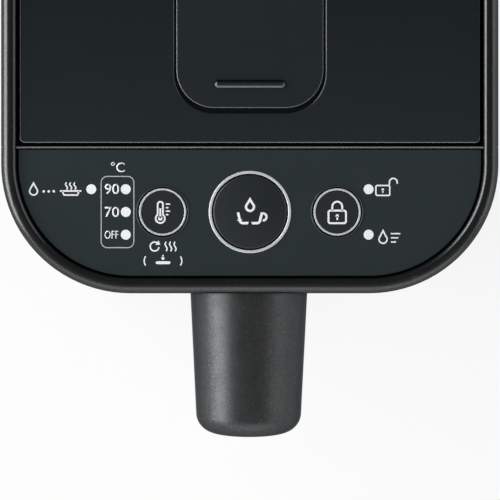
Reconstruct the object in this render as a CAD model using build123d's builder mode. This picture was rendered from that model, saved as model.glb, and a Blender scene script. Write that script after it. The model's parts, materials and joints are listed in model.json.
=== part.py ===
from build123d import *
import os
from math import acos, atan, cos, hypot, radians, sin, sqrt

# Electric thermo pot for hot water: a rounded-square casing with a hinged lid,
# a control panel in front of the lid and a drooping round spout on the front.
# Millimetres.  +Z is up, -Y is the front (spout) side and X = 0 is the plane of
# symmetry.  The origin is the middle of the overall footprint, on the table.

# ---------------------------------------------------------------- casing
body_width = 190.4
body_depth = 221.0
body_height = 212.0        # table to the crest of the rim
body_corner = 49.5         # corner radius in plan
shell_wall = 2.5
seam_chamfer = 0.6         # half of the V-groove between two casings
tongue_height = 6.0        # locating tongue inside a seam
tongue_wall = 1.8
tongue_gap = 0.2
tongue_band = 3.0          # where the tongue joins its own casing
foot_height = 3.0          # how far the casing stands off the table
base_height = 13.0         # base cover alone
shoulder_height = 62.0     # shoulder ring alone, to the crest

# ---------------------------------------------------------------- rim, deck, wells
rim_width = 5.9
rim_outer_round = 3.7
rim_inner_round = 2.1
partition_drop = 2.3       # crest down to the top of the partition
partition_wall = 1.4
lip_wall = 0.8             # partition's thinner top edge
lip_height = 4.0
lip_round = 0.3
control_depth = 55.5       # front of the casing to the partition
lid_drop = 1.5             # crest down to the lid's top
panel_drop = 1.8           # crest down to the control panel's top
deck_drop = 16.0           # crest down to the deck inside the lid well
deck_wall = 4.0

# ---------------------------------------------------------------- lid
lid_gap = 1.3              # in front of the lid
lid_side_gap = 1.2
lid_plate = 2.5
lid_skirt = 2.2
lid_lift = 0.8             # skirt above the deck
lid_edge_round = 0.5
lid_corner = 1.9           # front corners in plan
hinge_setback = 22.5       # rear of the casing to the hinge axis
hinge_barrel = 6.0         # radius of the barrel along the lid's rear edge
hinge_width = 140.0        # width of the lid's hinged tongue
hinge_tongue = 9.0         # length of that tongue, up to the axis
hinge_pin_radius = 1.5
lug_place = 45.0           # hinge lugs either side of the middle
lug_width = 8.0
lug_radius = 4.8
cover_gap = 1.5            # behind the hinge barrel, so that the lid can lean back
cover_screw_place = 25.0   # either side of the middle
turn_gap = 0.5             # beside parts that turn past each other
running_gap = 0.05         # radial, shaft in bore
seat_gap = 0.02            # radial, fixed pin in its seat

# ---------------------------------------------------------------- lever and latch
lever_width = 56.3
lever_plate = 2.2
lever_corner = 14.5
lever_front = 70.9         # front of the casing to the lever's front edge
lever_axis = 131.4         # front of the casing to the lever's axis
lever_barrel = 5.5
lever_finger_gap = 1.9     # in front of the lever, for a fingertip
lever_side_gap = 0.7
lever_floor_gap = 0.7
lever_pin_radius = 1.25
grip_line_length = 27.0
grip_line_width = 3.0
grip_line_height = 1.3     # a raised rib
grip_line_round = 1.25
grip_line_inset = 9.2      # lever's front edge to the grip line
recess_floor = 2.0
recess_wall = 2.0
recess_round = 0.8
hook_setback = 5.3         # lid's front edge to the hook's axis
hook_barrel = 2.6
hook_width = 8.0
hook_bar = 2.0
hook_drop = 4.0            # hook's axis down to the nose's top
hook_pin_radius = 1.2
ear_wall = 2.5
nose_bite = 1.3            # nose into the partition's slot
nose_gap = 0.6             # around the nose in its slots
tail_width = 5.0
tail_overrun = 2.0         # tail past the lever's cross bar
tail_drop = 1.6            # the tail's front half lies lower, to swing below the recess
tail_step = 10.5           # hook's axis to the tail's step up
tail_web = 2.5
tail_cover = 1.0           # recess's floor above the tail's front half, and its overlap
link_radius = 1.2
link_cheek = 1.5
link_gap = 0.55            # between the hook's tail and the lever's cross bar
spring_gap = 7.0           # half of the space for the spring in the lever's barrel
spring_radius = 2.5
spring_wire = 0.4
spring_pitch = 1.1
spring_turns = 6

# ---------------------------------------------------------------- lower lid
plug_radius = 50.5
plug_depth = 14.0          # below the deck's top
plug_wall = 2.0
base_lift = 0.4            # lower lid above the skirt's edge
base_plate = 2.0
base_gap = 0.2
gasket_width = 3.5
gasket_gap = 0.1           # above the deck
gasket_groove = 1.0
mouth_margin = 1.0         # mouth's edge to the gasket
inner_lid_wall = 1.2
inner_lid_lip = 3.0
inner_lid_hole = 1.0
vent_length = 38.0
vent_width = 15.0
vent_inset = 33.0          # hinge axis to the steam vent's centre
vent_wall = 1.5
vent_gap = 0.15
vent_depth = 5.0           # vent's chamber, below the lid's plate
vent_slots = 5
vent_slot_width = 2.0
vent_slot_pitch = 6.0
duct_radius = 6.0
duct_overlap = 8.0         # the vent's duct inside the lower lid's
lid_screw_place = (70.0, 46.0)   # sideways, and fore and aft of the vessel's axis
lid_screw_boss = 4.5

# ---------------------------------------------------------------- control panel
panel_gap = 0.75
panel_rear_gap = 0.5
panel_wall = 2.5
panel_ledge = 2.5
ledge_wall = 3.0
panel_edge_round = 0.4
button_row = 31.15         # front of the casing to the row of buttons
button_spread = 33.4       # small buttons either side of the middle
ring_radius = 15.75
ring_width = 1.1
ring_lift = 0.3
dispense_gap = 0.25
dispense_travel = 2.0
face_radius = 80.0         # dome of the dispense button's face
face_round = 1.1           # around its edge
key_radius = 9.1
key_gap = 0.5
key_hole_chamfer = 0.25
key_travel = 1.2
key_ring_width = 0.9
key_ring_depth = 1.0
button_wall = 2.0
button_crown = 3.0
button_flange = 0.8        # retaining flange, beyond the hole's edge
flange_wall = 1.0
flange_gap = 0.3           # under the panel
stem_radius = 3.0
press_gap = 0.1            # stem above its switch at the end of the travel
lamp_radius = 1.9
lamp_gap = 0.05
lamp_flange = 0.8
lamp_column = 47.5         # inner column of lamps, left and right of the middle
lamp_outer = 60.7          # outer left lamp
lamp_pitch = 8.7
lamp_right = 45.4          # right-hand column
board_drop = 13.0          # panel's top down to the control board's top
board_wall = 1.6
board_width = 128.0
board_depth = 36.0
board_lift = 0.3           # lamp's light pipe above the control board
switch_size = 6.0
switch_height = 3.5
actuator_radius = 1.6
actuator_height = 0.5
post_radius = 3.0
post_place = (54.0, 13.5)  # sideways, and fore and aft of the button row

# ---------------------------------------------------------------- spout
spout_reach = 55.6         # beyond the front of the casing
spout_root_radius = 22.6
spout_tip_radius = 20.0
spout_tip_round = 7.5
spout_droop = 8.0          # degrees below the horizontal
spout_drop = 36.0          # crest down to the spout's axis at the root
spout_wall = 2.2
spigot_radius = 18.0
spigot_length = 4.0        # behind the casing's front face
spigot_gap = 0.15
nozzle_setback = 17.5      # spout's tip to the nozzle's axis
nozzle_radius = 7.5
nozzle_out = 7.0           # below the spout's underside
nozzle_gap = 0.2
nozzle_round = 1.2
nozzle_flange = 2.0
nozzle_flange_wall = 1.5
pad_radius = 10.5
pad_height = 7.0           # above the spout's underside

# ---------------------------------------------------------------- water path
pipe_radius = 5.5
pipe_bore = 4.0
hose_wall = 2.0
pipe_gap = 0.02            # radial, in its sleeves
port_height = 13.0         # vessel's floor down to the pump's outlet axis
port_length = 12.5
tube_setback = 14.0        # front of the casing to the level tube's axis
elbow_radius = 12.0
spout_elbow_radius = 9.0
socket_depth = 8.0         # how deep a pipe sits in its sleeve
sleeve_gap = 0.5           # end of a sleeve to the wall that it comes up to
valve_radius = 8.5
valve_cavity = 6.0
valve_lift = 4.0           # shoulder's seam to the valve's seat
valve_seat = 2.0
valve_seat_radius = 3.4
valve_cap = 1.5
valve_flange = 2.5
shelf_wall = 2.5
shelf_lift = 2.0           # shoulder's seam to the shelf
shelf_margin = 4.5
ball_radius = 4.2
ball_gap = 0.05
gauge_width = 15.0
gauge_drop = 10.0          # shoulder's seam down to the window's top
gauge_bottom = 68.0
gauge_corner = 3.0
gauge_gap = 0.1
gauge_flange = 2.0
gauge_flange_wall = 1.2

# ---------------------------------------------------------------- vessel, heater, pump
vessel_radius = 70.0
vessel_wall = 1.0
vessel_floor = 60.0        # inside, above the table
vessel_setback = 126.5     # front of the casing to the vessel's axis
vessel_flange = 81.0
vessel_bottom_round = 10.0
seal_inset = 0.5
seal_width = 4.0
seal_wall = 1.0
mouth_radius = 55.0
flange_screw_radius = 78.0
flange_screw_count = 4
flange_screw_bite = 3.3    # into the deck
jacket_gap = 1.0
jacket_wall = 6.0
jacket_bottom_gap = 10.0   # above the vessel's floor
jacket_top_gap = 3.0       # below the flange
heater_inner = 26.0
heater_outer = 47.0
heater_wall = 3.5
sensor_radius = 6.0
sensor_height = 6.0
sensor_circle = 54.0
chamber_radius = 21.5
chamber_wall = 2.5
chamber_height = 20.0
inlet_radius = 8.0
impeller_radius = 15.0
impeller_hub = 5.0
impeller_height = 8.0
impeller_disc = 2.0
impeller_blades = 6
blade_wall = 1.5
spindle_radius = 1.5
spindle_height = 12.5
axial_gap = 0.5
mount_height = 8.0
mount_wall = 2.5
motor_radius = 16.0
motor_height = 22.0
magnet_radius = 14.0
magnet_height = 5.0
shaft_depth = 14.0         # into the motor
shaft_radius = 1.5
strainer_radius = 12.0
strainer_height = 3.0
strainer_hole = 1.0
strainer_holes = 8

# ---------------------------------------------------------------- base, rods, socket
floor_wall = 2.5
base_round = 6.0
foot_radius = 9.0
foot_recess = 1.5
foot_gap = 0.1
foot_round = 1.0
front_foot = (37.2, 27.0)  # from the side and from the front of the casing
rear_foot = (40.2, 25.0)   # from the side and from the rear of the casing
rod_radius = 2.5
rod_boss = 5.0
rod_boss_height = 20.0
rod_socket = 12.0
front_rod = (13.2, 66.5)   # from the side and from the front of the casing
rear_rod = (21.2, 44.5)    # from the side and from the rear of the casing
base_boss_top = 20.0
screw_radius = 1.5
screw_head = 3.0
screw_head_height = 2.0
screw_length = 20.0        # of the long screws in the base
screw_sink = 3.0           # their heads above the base's underside
short_screw = 7.0
screw_play = 0.2           # radial, in clearance holes
slot_count = 7
slot_length = 26.0
slot_width = 2.5
slot_pitch = 7.0
board_place = 58.0         # front of the casing to the power board's centre
power_board_width = 104.0
power_board_depth = 62.0
board_margin = 6.0         # board's edge to its screws
standoff_height = 7.5
standoff_radius = 3.5
capacitor_radius = 8.0
capacitor_height = 18.0
relay_size = (19.0, 16.0, 15.0)
transformer_size = (30.0, 26.0, 22.0)
socket_height = 42.0       # table to the power socket's centre
socket_width = 40.0
socket_tall = 24.0
socket_corner = 4.0
socket_gap = 0.1
socket_rim = 4.0           # around the recess
socket_deep = 9.0
socket_body = 13.0
socket_flange = 3.0
socket_flange_wall = 2.0
contact_radius = 1.6
contact_spread = 4.5
contact_length = 6.5
keeper_spread = 11.5
keeper_width = 7.0
keeper_tall = 11.0
keeper_wall = 1.5
keeper_sink = 1.0

# ---------------------------------------------------------------- carrying handle
pivot_setback = 130.0      # front of the casing to the handle's axis
pivot_drop = 24.0          # crest down to the handle's axis
handle_gap = 0.8           # casing to arm
handle_arm = 5.5
handle_grip = 8.0
handle_height = 12.0
handle_round = 2.0
handle_clearance = 2.5     # grip past the rim's rear edge
handle_rest_gap = 0.4      # grip to the rear wall at rest
eye_radius = 10.0
handle_pin_radius = 4.0
pin_head_radius = 7.0
pin_head_height = 2.0
pin_head_gap = 0.2
pin_boss_radius = 7.0
pin_boss_length = 6.0

# ---------------------------------------------------------------- heights worked out
crest_z = body_height
base_top = foot_height + base_height
shoulder_z = crest_z - shoulder_height
partition_top = crest_z - partition_drop
lid_top = crest_z - lid_drop
panel_top = crest_z - panel_drop
panel_bottom = panel_top - panel_wall
deck_top = crest_z - deck_drop
deck_bottom = deck_top - deck_wall
hinge_z = lid_top - hinge_barrel
lever_z = lid_top - lever_barrel
lever_bottom = lid_top - lever_plate
hook_z = lever_z
skirt_bottom = deck_top + lid_lift
lid_underside = lid_top - lid_plate
recess_z = lever_bottom - lever_floor_gap
pivot_z = crest_z - pivot_drop
spout_z = crest_z - spout_drop
floor_top = foot_height + floor_wall
board_top = panel_top - board_drop
port_z = vessel_floor - port_height

# ---------------------------------------------------------------- handle and spout reach
pivot_to_rear = body_depth - pivot_setback
handle_inner = hypot(pivot_to_rear, pivot_drop) + handle_clearance
half_bar = handle_height / 2
rest_reach = pivot_to_rear + handle_rest_gap
handle_droop = acos(rest_reach / hypot(handle_inner, half_bar)) - atan(half_bar / handle_inner)
handle_outer = handle_inner + handle_grip
handle_reach = (
    (handle_outer - handle_round) * cos(handle_droop)
    + (half_bar - handle_round) * sin(handle_droop)
    + handle_round
    - pivot_to_rear
)
droop = radians(spout_droop)
spout_length = spout_tip_round + (
    spout_reach - spout_tip_round - (spout_tip_radius - spout_tip_round) * sin(droop)
) / cos(droop)

# ---------------------------------------------------------------- places along the depth
front_y = spout_reach - (spout_reach + body_depth + handle_reach) / 2
rear_y = front_y + body_depth
mid_y = front_y + body_depth / 2
partition_front = front_y + control_depth
partition_rear = partition_front + partition_wall
lid_front = partition_front + lip_wall + lid_gap
hinge_y = rear_y - hinge_setback
lever_y = front_y + lever_axis
lever_front_y = front_y + lever_front
hook_y = lid_front + hook_setback
link_y = (hook_y + lever_y) / 2
button_y = front_y + button_row
vessel_y = front_y + vessel_setback
tube_y = front_y + tube_setback
nozzle_y = front_y - spout_reach + nozzle_setback
pivot_y = front_y + pivot_setback
vent_y = hinge_y - vent_inset
board_y = front_y + board_place
rod_places = [
    (side * (body_width / 2 - x), y)
    for x, y in ((front_rod[0], front_y + front_rod[1]), (rear_rod[0], rear_y - rear_rod[1]))
    for side in (-1, 1)
]
foot_places = [
    (side * (body_width / 2 - x), y)
    for x, y in ((front_foot[0], front_y + front_foot[1]), (rear_foot[0], rear_y - rear_foot[1]))
    for side in (-1, 1)
]
lamp_places = [
    (-lamp_outer, button_y + lamp_pitch),
    (-lamp_column, button_y + lamp_pitch),
    (-lamp_column, button_y),
    (-lamp_column, button_y - lamp_pitch),
    (lamp_right, button_y + lamp_pitch),
    (lamp_right, button_y - lamp_pitch),
]


def casing_outline(inset, mode=Mode.ADD):
    """Rounded-square plan of the casing, moved in by inset, in the sketch being drawn."""
    with Locations((0, mid_y)):
        RectangleRounded(
            body_width - 2 * inset, body_depth - 2 * inset, body_corner - inset, mode=mode
        )


def keep_between(y_low, y_high):
    """Cuts the sketch being drawn down to the strip between two places along the depth."""
    with Locations((0, (y_low + y_high) / 2)):
        Rectangle(2 * body_width, y_high - y_low, mode=Mode.INTERSECT)


def facing_front(y):
    """The plane at y that looks out of the front, with local x to the right and y up."""
    return Plane.XZ.offset(-y)


def block(x, y, z, mode=Mode.ADD):
    """A box given by its low and high limits along each axis."""
    with Locations(((x[0] + x[1]) / 2, (y[0] + y[1]) / 2, (z[0] + z[1]) / 2)):
        Box(x[1] - x[0], y[1] - y[0], z[1] - z[0], mode=mode)


def post(place, radius, z, mode=Mode.ADD):
    """An upright cylinder at (x, y) between two heights."""
    with Locations((place[0], place[1], (z[0] + z[1]) / 2)):
        Cylinder(radius, z[1] - z[0], mode=mode)


def bar_x(y, z, radius, x, mode=Mode.ADD):
    """A cylinder along X at (y, z) between two places."""
    with Locations(((x[0] + x[1]) / 2, y, z)):
        Cylinder(radius, x[1] - x[0], rotation=(0, 90, 0), mode=mode)


def bar_y(x, z, radius, y, mode=Mode.ADD):
    """A cylinder along Y at (x, z) between two places."""
    with Locations((x, (y[0] + y[1]) / 2, z)):
        Cylinder(radius, y[1] - y[0], rotation=(90, 0, 0), mode=mode)


os.makedirs("parts", exist_ok=True)

# ================================================================ casing
socket_middle = socket_height
gauge_height = shoulder_z - gauge_drop - gauge_bottom
gauge_middle = gauge_bottom + gauge_height / 2
boss_bottom = deck_bottom - rod_boss_height
rod_top = boss_bottom + rod_socket
screw_clearance = screw_radius + screw_play
screw_seat = screw_radius + seat_gap


def tongue(seam_z, way):
    """Locating tongue past the seam at seam_z: way is 1 for upward and -1 for downward."""
    with BuildSketch(Plane.XY.offset(seam_z)) as ring:
        casing_outline(shell_wall + tongue_gap)
        casing_outline(shell_wall + tongue_gap + tongue_wall, mode=Mode.SUBTRACT)
    extrude(ring.sketch, amount=way * tongue_height)
    with BuildSketch(Plane.XY.offset(seam_z)) as band:
        casing_outline(shell_wall - tongue_gap)
        casing_outline(shell_wall + tongue_gap + tongue_wall, mode=Mode.SUBTRACT)
    extrude(band.sketch, amount=-way * tongue_band)


def screw(place, head_z, length, way=1, head=screw_head_height):
    """A pan-head screw whose head sits at head_z and whose shank runs up (1) or down (-1)."""
    post(place, screw_head, sorted((head_z, head_z - way * head)))
    post(place, screw_radius, sorted((head_z, head_z + way * length)))


with BuildPart() as body_shell:
    with BuildSketch(Plane.XY.offset(base_top)):
        casing_outline(0)
    extrude(amount=shoulder_z - base_top)
    chamfer(body_shell.edges().group_by(Axis.Z)[-1], seam_chamfer)
    chamfer(body_shell.edges().group_by(Axis.Z)[0], seam_chamfer)
    with BuildSketch(Plane.XY.offset(base_top)):
        casing_outline(shell_wall)
    extrude(amount=shoulder_z - base_top, mode=Mode.SUBTRACT)
    # window for the level gauge
    with BuildSketch(facing_front(front_y)):
        with Locations((0, gauge_middle)):
            RectangleRounded(gauge_width, gauge_height, gauge_corner)
    extrude(amount=2 * shell_wall, both=True, mode=Mode.SUBTRACT)
    # opening for the power socket
    with BuildSketch(facing_front(rear_y)):
        with Locations((0, socket_middle)):
            RectangleRounded(socket_width, socket_tall, socket_corner)
    extrude(amount=2 * shell_wall, both=True, mode=Mode.SUBTRACT)
body_shell.part.label = "body_shell"
export_step(body_shell.part, "parts/body_shell.step")

valve_y = tube_y
shelf_z = shoulder_z + shelf_lift
nose_top = hook_z - hook_drop
nose_bottom = nose_top - hook_bar
nose_front = partition_rear - nose_bite
nose_reach = hypot(hook_y - nose_front, hook_z - nose_bottom)
slot_bottom = hook_z - sqrt(nose_reach**2 - (hook_y - partition_rear) ** 2) - nose_gap / 2
boss_x = body_width / 2 - shell_wall - pin_boss_length

with BuildPart() as shoulder_ring:
    with BuildSketch(Plane.XY.offset(shoulder_z)):
        casing_outline(0)
    extrude(amount=shoulder_height)
    chamfer(shoulder_ring.edges().group_by(Axis.Z)[0], seam_chamfer)
    # the well above the partition, and the rim's rounded crest
    with BuildSketch(Plane.XY.offset(partition_top)):
        casing_outline(rim_width)
    extrude(amount=crest_z - partition_top, mode=Mode.SUBTRACT)
    crest = shoulder_ring.faces().sort_by(Axis.Z)[-1]
    fillet(crest.outer_wire().edges(), rim_outer_round)
    crest = shoulder_ring.faces().sort_by(Axis.Z)[-1]
    fillet(crest.inner_wires()[0].edges(), rim_inner_round)
    # hollow below the deck
    with BuildSketch(Plane.XY.offset(shoulder_z)):
        casing_outline(shell_wall)
    extrude(amount=deck_bottom - shoulder_z, mode=Mode.SUBTRACT)
    # lid well
    with BuildSketch(Plane.XY.offset(deck_top)):
        casing_outline(rim_width)
        keep_between(partition_rear, rear_y)
    extrude(amount=partition_top - deck_top, mode=Mode.SUBTRACT)
    post((0, vessel_y), mouth_radius, (deck_bottom, deck_top), mode=Mode.SUBTRACT)
    # the partition is thinner along its top
    with BuildSketch(Plane.XY.offset(partition_top - lip_height)):
        casing_outline(rim_width)
        keep_between(partition_front + lip_wall, partition_rear)
    extrude(amount=lip_height, mode=Mode.SUBTRACT)
    # panel well, with a ledge that carries the panel
    with BuildSketch(Plane.XY.offset(panel_bottom)):
        casing_outline(rim_width)
        keep_between(front_y, partition_front)
    extrude(amount=partition_top - panel_bottom, mode=Mode.SUBTRACT)
    with BuildSketch(Plane.XY.offset(deck_bottom)):
        casing_outline(rim_width + panel_ledge)
        keep_between(front_y, partition_front - panel_ledge)
    extrude(amount=panel_bottom - deck_bottom, mode=Mode.SUBTRACT)
    with BuildSketch(Plane.XY.offset(deck_bottom)):
        casing_outline(shell_wall)
        keep_between(front_y, partition_front)
    extrude(amount=panel_bottom - ledge_wall - deck_bottom, mode=Mode.SUBTRACT)
    tongue(shoulder_z, -1)
    lip_edges = shoulder_ring.edges().filter_by(Axis.X)
    fillet(lip_edges.filter_by_position(Axis.Z, partition_top, partition_top), lip_round)
    # shelf that carries the tip-over valve
    block(
        (-valve_radius - shelf_margin, valve_radius + shelf_margin),
        (front_y + shell_wall, valve_y + valve_radius + shelf_margin),
        (shelf_z, shelf_z + shelf_wall),
    )
    post((0, valve_y), valve_radius + pipe_gap, (shelf_z, shelf_z + shelf_wall), Mode.SUBTRACT)
    # hole for the spout's spigot
    bar_y(0, spout_z, spigot_radius + spigot_gap, (front_y, front_y + spigot_length), Mode.SUBTRACT)
    # bosses for the tie rods, hanging from the deck
    for place in rod_places:
        post(place, rod_boss, (boss_bottom, deck_bottom))
        post(place, rod_radius + seat_gap, (boss_bottom, rod_top), Mode.SUBTRACT)
    # bosses for the handle's pivot pins
    for side in (-1, 1):
        span = sorted((side * boss_x, side * (body_width / 2 - shell_wall / 2)))
        bar_x(pivot_y, pivot_z, pin_boss_radius, span)
        span = sorted((side * boss_x, side * body_width / 2))
        bar_x(pivot_y, pivot_z, handle_pin_radius + seat_gap, span, Mode.SUBTRACT)
    # slot that the lid's hook catches in, open below it for the hook's swing
    block(
        (-hook_width / 2 - nose_gap, hook_width / 2 + nose_gap),
        (partition_front, partition_rear),
        (slot_bottom, nose_top + nose_gap / 2),
        Mode.SUBTRACT,
    )
    # threaded holes for the vessel's screws and clearance holes for the rear cover's
    with Locations((0, vessel_y, deck_bottom + flange_screw_bite / 2)):
        with PolarLocations(flange_screw_radius, flange_screw_count, start_angle=45):
            Cylinder(screw_seat, flange_screw_bite, mode=Mode.SUBTRACT)
    cover_front = hinge_y + hinge_barrel + cover_gap
    cover_rear = rear_y - rim_width - panel_gap
    cover_screw_y = (cover_front + cover_rear) / 2
    for side in (-1, 1):
        place = (side * cover_screw_place, cover_screw_y)
        post(place, screw_clearance, (deck_bottom, deck_top), Mode.SUBTRACT)
shoulder_ring.part.label = "shoulder_ring"
export_step(shoulder_ring.part, "parts/shoulder_ring.step")

standoff_top = floor_top + standoff_height
board_screw_x = power_board_width / 2 - board_margin
board_screw_y = power_board_depth / 2 - board_margin
board_screw_places = [
    (side * board_screw_x, board_y + end * board_screw_y) for side in (-1, 1) for end in (-1, 1)
]
base_head_z = foot_height + screw_sink + screw_head_height

with BuildPart() as base_cover:
    with BuildSketch(Plane.XY.offset(foot_height)):
        casing_outline(0)
    extrude(amount=base_height)
    chamfer(base_cover.edges().group_by(Axis.Z)[-1], seam_chamfer)
    fillet(base_cover.edges().group_by(Axis.Z)[0], base_round)
    with BuildSketch(Plane.XY.offset(floor_top)):
        casing_outline(shell_wall)
    extrude(amount=base_top - floor_top, mode=Mode.SUBTRACT)
    inside = base_cover.faces().filter_by(Plane.XY).filter_by_position(Axis.Z, floor_top, floor_top)
    fillet(inside[0].outer_wire().edges(), base_round - shell_wall)
    tongue(base_top, 1)
    # cooling slots below the power board
    with BuildSketch(Plane.XY.offset(foot_height)):
        with Locations((0, board_y)):
            with GridLocations(slot_pitch, slot_pitch, slot_count, 1):
                SlotOverall(slot_length, slot_width, rotation=90)
    extrude(amount=floor_wall, mode=Mode.SUBTRACT)
    # bosses for the long screws that pull the casing together
    for place in rod_places:
        post(place, rod_boss, (floor_top, base_boss_top))
        post(place, screw_clearance, (foot_height, base_boss_top), Mode.SUBTRACT)
        post(place, screw_head + screw_play, (foot_height, base_head_z), Mode.SUBTRACT)
    # standoffs for the power board
    for place in board_screw_places:
        post(place, standoff_radius, (floor_top, standoff_top))
        post(place, screw_seat, (floor_top, standoff_top), Mode.SUBTRACT)
    # recesses for the feet
    for place in foot_places:
        post(place, foot_radius + foot_gap, (foot_height, foot_height + foot_recess), Mode.SUBTRACT)
base_cover.part.label = "base_cover"
export_step(base_cover.part, "parts/base_cover.step")

with BuildPart() as rubber_feet:
    for place in foot_places:
        post(place, foot_radius, (0, foot_height + foot_recess))
    fillet(rubber_feet.edges().group_by(Axis.Z)[0], foot_round)
rubber_feet.part.label = "rubber_feet"
export_step(rubber_feet.part, "parts/rubber_feet.step")

with BuildPart() as tie_rods:
    for place in rod_places:
        post(place, rod_radius, (base_boss_top, rod_top))
        post(place, screw_seat, (base_boss_top, base_head_z + screw_length), Mode.SUBTRACT)
tie_rods.part.label = "tie_rods"
export_step(tie_rods.part, "parts/tie_rods.step")

with BuildPart() as base_screws:
    for place in rod_places:
        screw(place, base_head_z, screw_length)
base_screws.part.label = "base_screws"
export_step(base_screws.part, "parts/base_screws.step")

# ---------------------------------------------------------------- rear cover and hinge
cover_bottom = deck_top
cover_corner_front = hinge_y - hinge_tongue + turn_gap
tongue_half = hinge_width / 2
lug_span = lug_width / 2

with BuildPart() as rear_cover:
    with BuildSketch(Plane.XY.offset(cover_bottom)):
        casing_outline(rim_width + panel_gap)
        keep_between(cover_corner_front, rear_y)
    extrude(amount=lid_top - cover_bottom)
    fillet(rear_cover.edges().group_by(Axis.Z)[-1], lid_edge_round)
    # front edge rounded about the hinge, because the lid's rear edge swings past it
    with BuildSketch(Plane.YZ) as swing:
        with Locations((hinge_y - hinge_tongue / 2, (hinge_z + lid_top) / 2)):
            Rectangle(hinge_tongue, lid_top - hinge_z)
        with Locations((hinge_y, hinge_z)):
            Circle(hinge_tongue - turn_gap, mode=Mode.SUBTRACT)
    extrude(swing.sketch, amount=body_width / 2, both=True, mode=Mode.SUBTRACT)
    # room for the lid's hinged tongue
    block(
        (-tongue_half - turn_gap, tongue_half + turn_gap),
        (cover_corner_front, cover_front),
        (cover_bottom, lid_top),
        Mode.SUBTRACT,
    )
    # hollow below the top plate
    with BuildSketch(Plane.XY.offset(cover_bottom)):
        casing_outline(rim_width + panel_gap + lid_skirt)
        keep_between(cover_front + lid_skirt, rear_y)
    extrude(amount=lid_underside - cover_bottom, mode=Mode.SUBTRACT)
    for side in (-1, 1):
        # lugs that hold the hinge pin
        lug = (side * lug_place - lug_span, side * lug_place + lug_span)
        bar_x(hinge_y, hinge_z, lug_radius, lug)
        block(lug, (hinge_y, cover_front + lid_skirt), (hinge_z - lug_radius, hinge_z + lug_radius))
        bar_x(hinge_y, hinge_z, hinge_pin_radius + seat_gap, lug, Mode.SUBTRACT)
        # screw bosses
        place = (side * cover_screw_place, cover_screw_y)
        post(place, screw_head, (cover_bottom, lid_underside))
        post(place, screw_seat, (cover_bottom, cover_bottom + short_screw), Mode.SUBTRACT)
rear_cover.part.label = "rear_cover"
export_step(rear_cover.part, "parts/rear_cover.step")

with BuildPart() as cover_screws:
    for side in (-1, 1):
        screw((side * cover_screw_place, cover_screw_y), deck_bottom, deck_wall + short_screw)
cover_screws.part.label = "cover_screws"
export_step(cover_screws.part, "parts/cover_screws.step")

with BuildPart() as hinge_pin:
    bar_x(hinge_y, hinge_z, hinge_pin_radius, (-tongue_half, tongue_half))
    chamfer(hinge_pin.edges().filter_by(GeomType.CIRCLE), hinge_pin_radius / 5)
hinge_pin.part.label = "hinge_pin"
export_step(hinge_pin.part, "parts/hinge_pin.step")

# ================================================================ vessel and heater
vessel_under = vessel_floor - vessel_wall
flange_top = deck_bottom - seal_wall
flange_bottom = flange_top - vessel_wall

with BuildPart() as inner_pot:
    post((0, vessel_y), vessel_radius + vessel_wall, (vessel_under, flange_top))
    fillet(inner_pot.edges().group_by(Axis.Z)[0], vessel_bottom_round)
    top = inner_pot.faces().sort_by(Axis.Z)[-1]
    offset(amount=-vessel_wall, openings=top)
    post((0, vessel_y), vessel_flange, (flange_bottom, flange_top))
    post((0, vessel_y), vessel_radius, (flange_bottom, flange_top), Mode.SUBTRACT)
    post((0, vessel_y), inlet_radius, (vessel_under, vessel_floor), Mode.SUBTRACT)
    with Locations((0, vessel_y, flange_bottom + vessel_wall / 2)):
        with PolarLocations(flange_screw_radius, flange_screw_count, start_angle=45):
            Cylinder(screw_clearance, vessel_wall, mode=Mode.SUBTRACT)
inner_pot.part.label = "inner_pot"
export_step(inner_pot.part, "parts/inner_pot.step")

seal_inner = vessel_radius + seal_inset
with BuildPart() as vessel_seal:
    post((0, vessel_y), seal_inner + seal_width, (flange_top, deck_bottom))
    post((0, vessel_y), seal_inner, (flange_top, deck_bottom), Mode.SUBTRACT)
vessel_seal.part.label = "vessel_seal"
export_step(vessel_seal.part, "parts/vessel_seal.step")

with BuildPart() as vessel_screws:
    with Locations((0, vessel_y, 0)):
        with PolarLocations(flange_screw_radius, flange_screw_count, start_angle=45):
            with Locations((0, 0, flange_bottom - screw_head_height / 2)):
                Cylinder(screw_head, screw_head_height)
            with Locations((0, 0, (flange_bottom + deck_bottom + flange_screw_bite) / 2)):
                Cylinder(screw_radius, deck_bottom + flange_screw_bite - flange_bottom)
vessel_screws.part.label = "vessel_screws"
export_step(vessel_screws.part, "parts/vessel_screws.step")

jacket_inner = vessel_radius + vessel_wall + jacket_gap
jacket_span = (vessel_floor + jacket_bottom_gap, flange_bottom - jacket_top_gap)
with BuildPart() as insulation_jacket:
    post((0, vessel_y), jacket_inner + jacket_wall, jacket_span)
    post((0, vessel_y), jacket_inner, jacket_span, Mode.SUBTRACT)
insulation_jacket.part.label = "insulation_jacket"
export_step(insulation_jacket.part, "parts/insulation_jacket.step")

with BuildPart() as heater_plate:
    post((0, vessel_y), heater_outer, (vessel_under - heater_wall, vessel_under))
    post((0, vessel_y), heater_inner, (vessel_under - heater_wall, vessel_under), Mode.SUBTRACT)
heater_plate.part.label = "heater_plate"
export_step(heater_plate.part, "parts/heater_plate.step")

with BuildPart() as temperature_sensor:
    post((0, vessel_y + sensor_circle), sensor_radius, (vessel_under - sensor_height, vessel_under))
    fillet(temperature_sensor.edges().group_by(Axis.Z)[0], sensor_radius / 6)
temperature_sensor.part.label = "temperature_sensor"
export_step(temperature_sensor.part, "parts/temperature_sensor.step")

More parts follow.
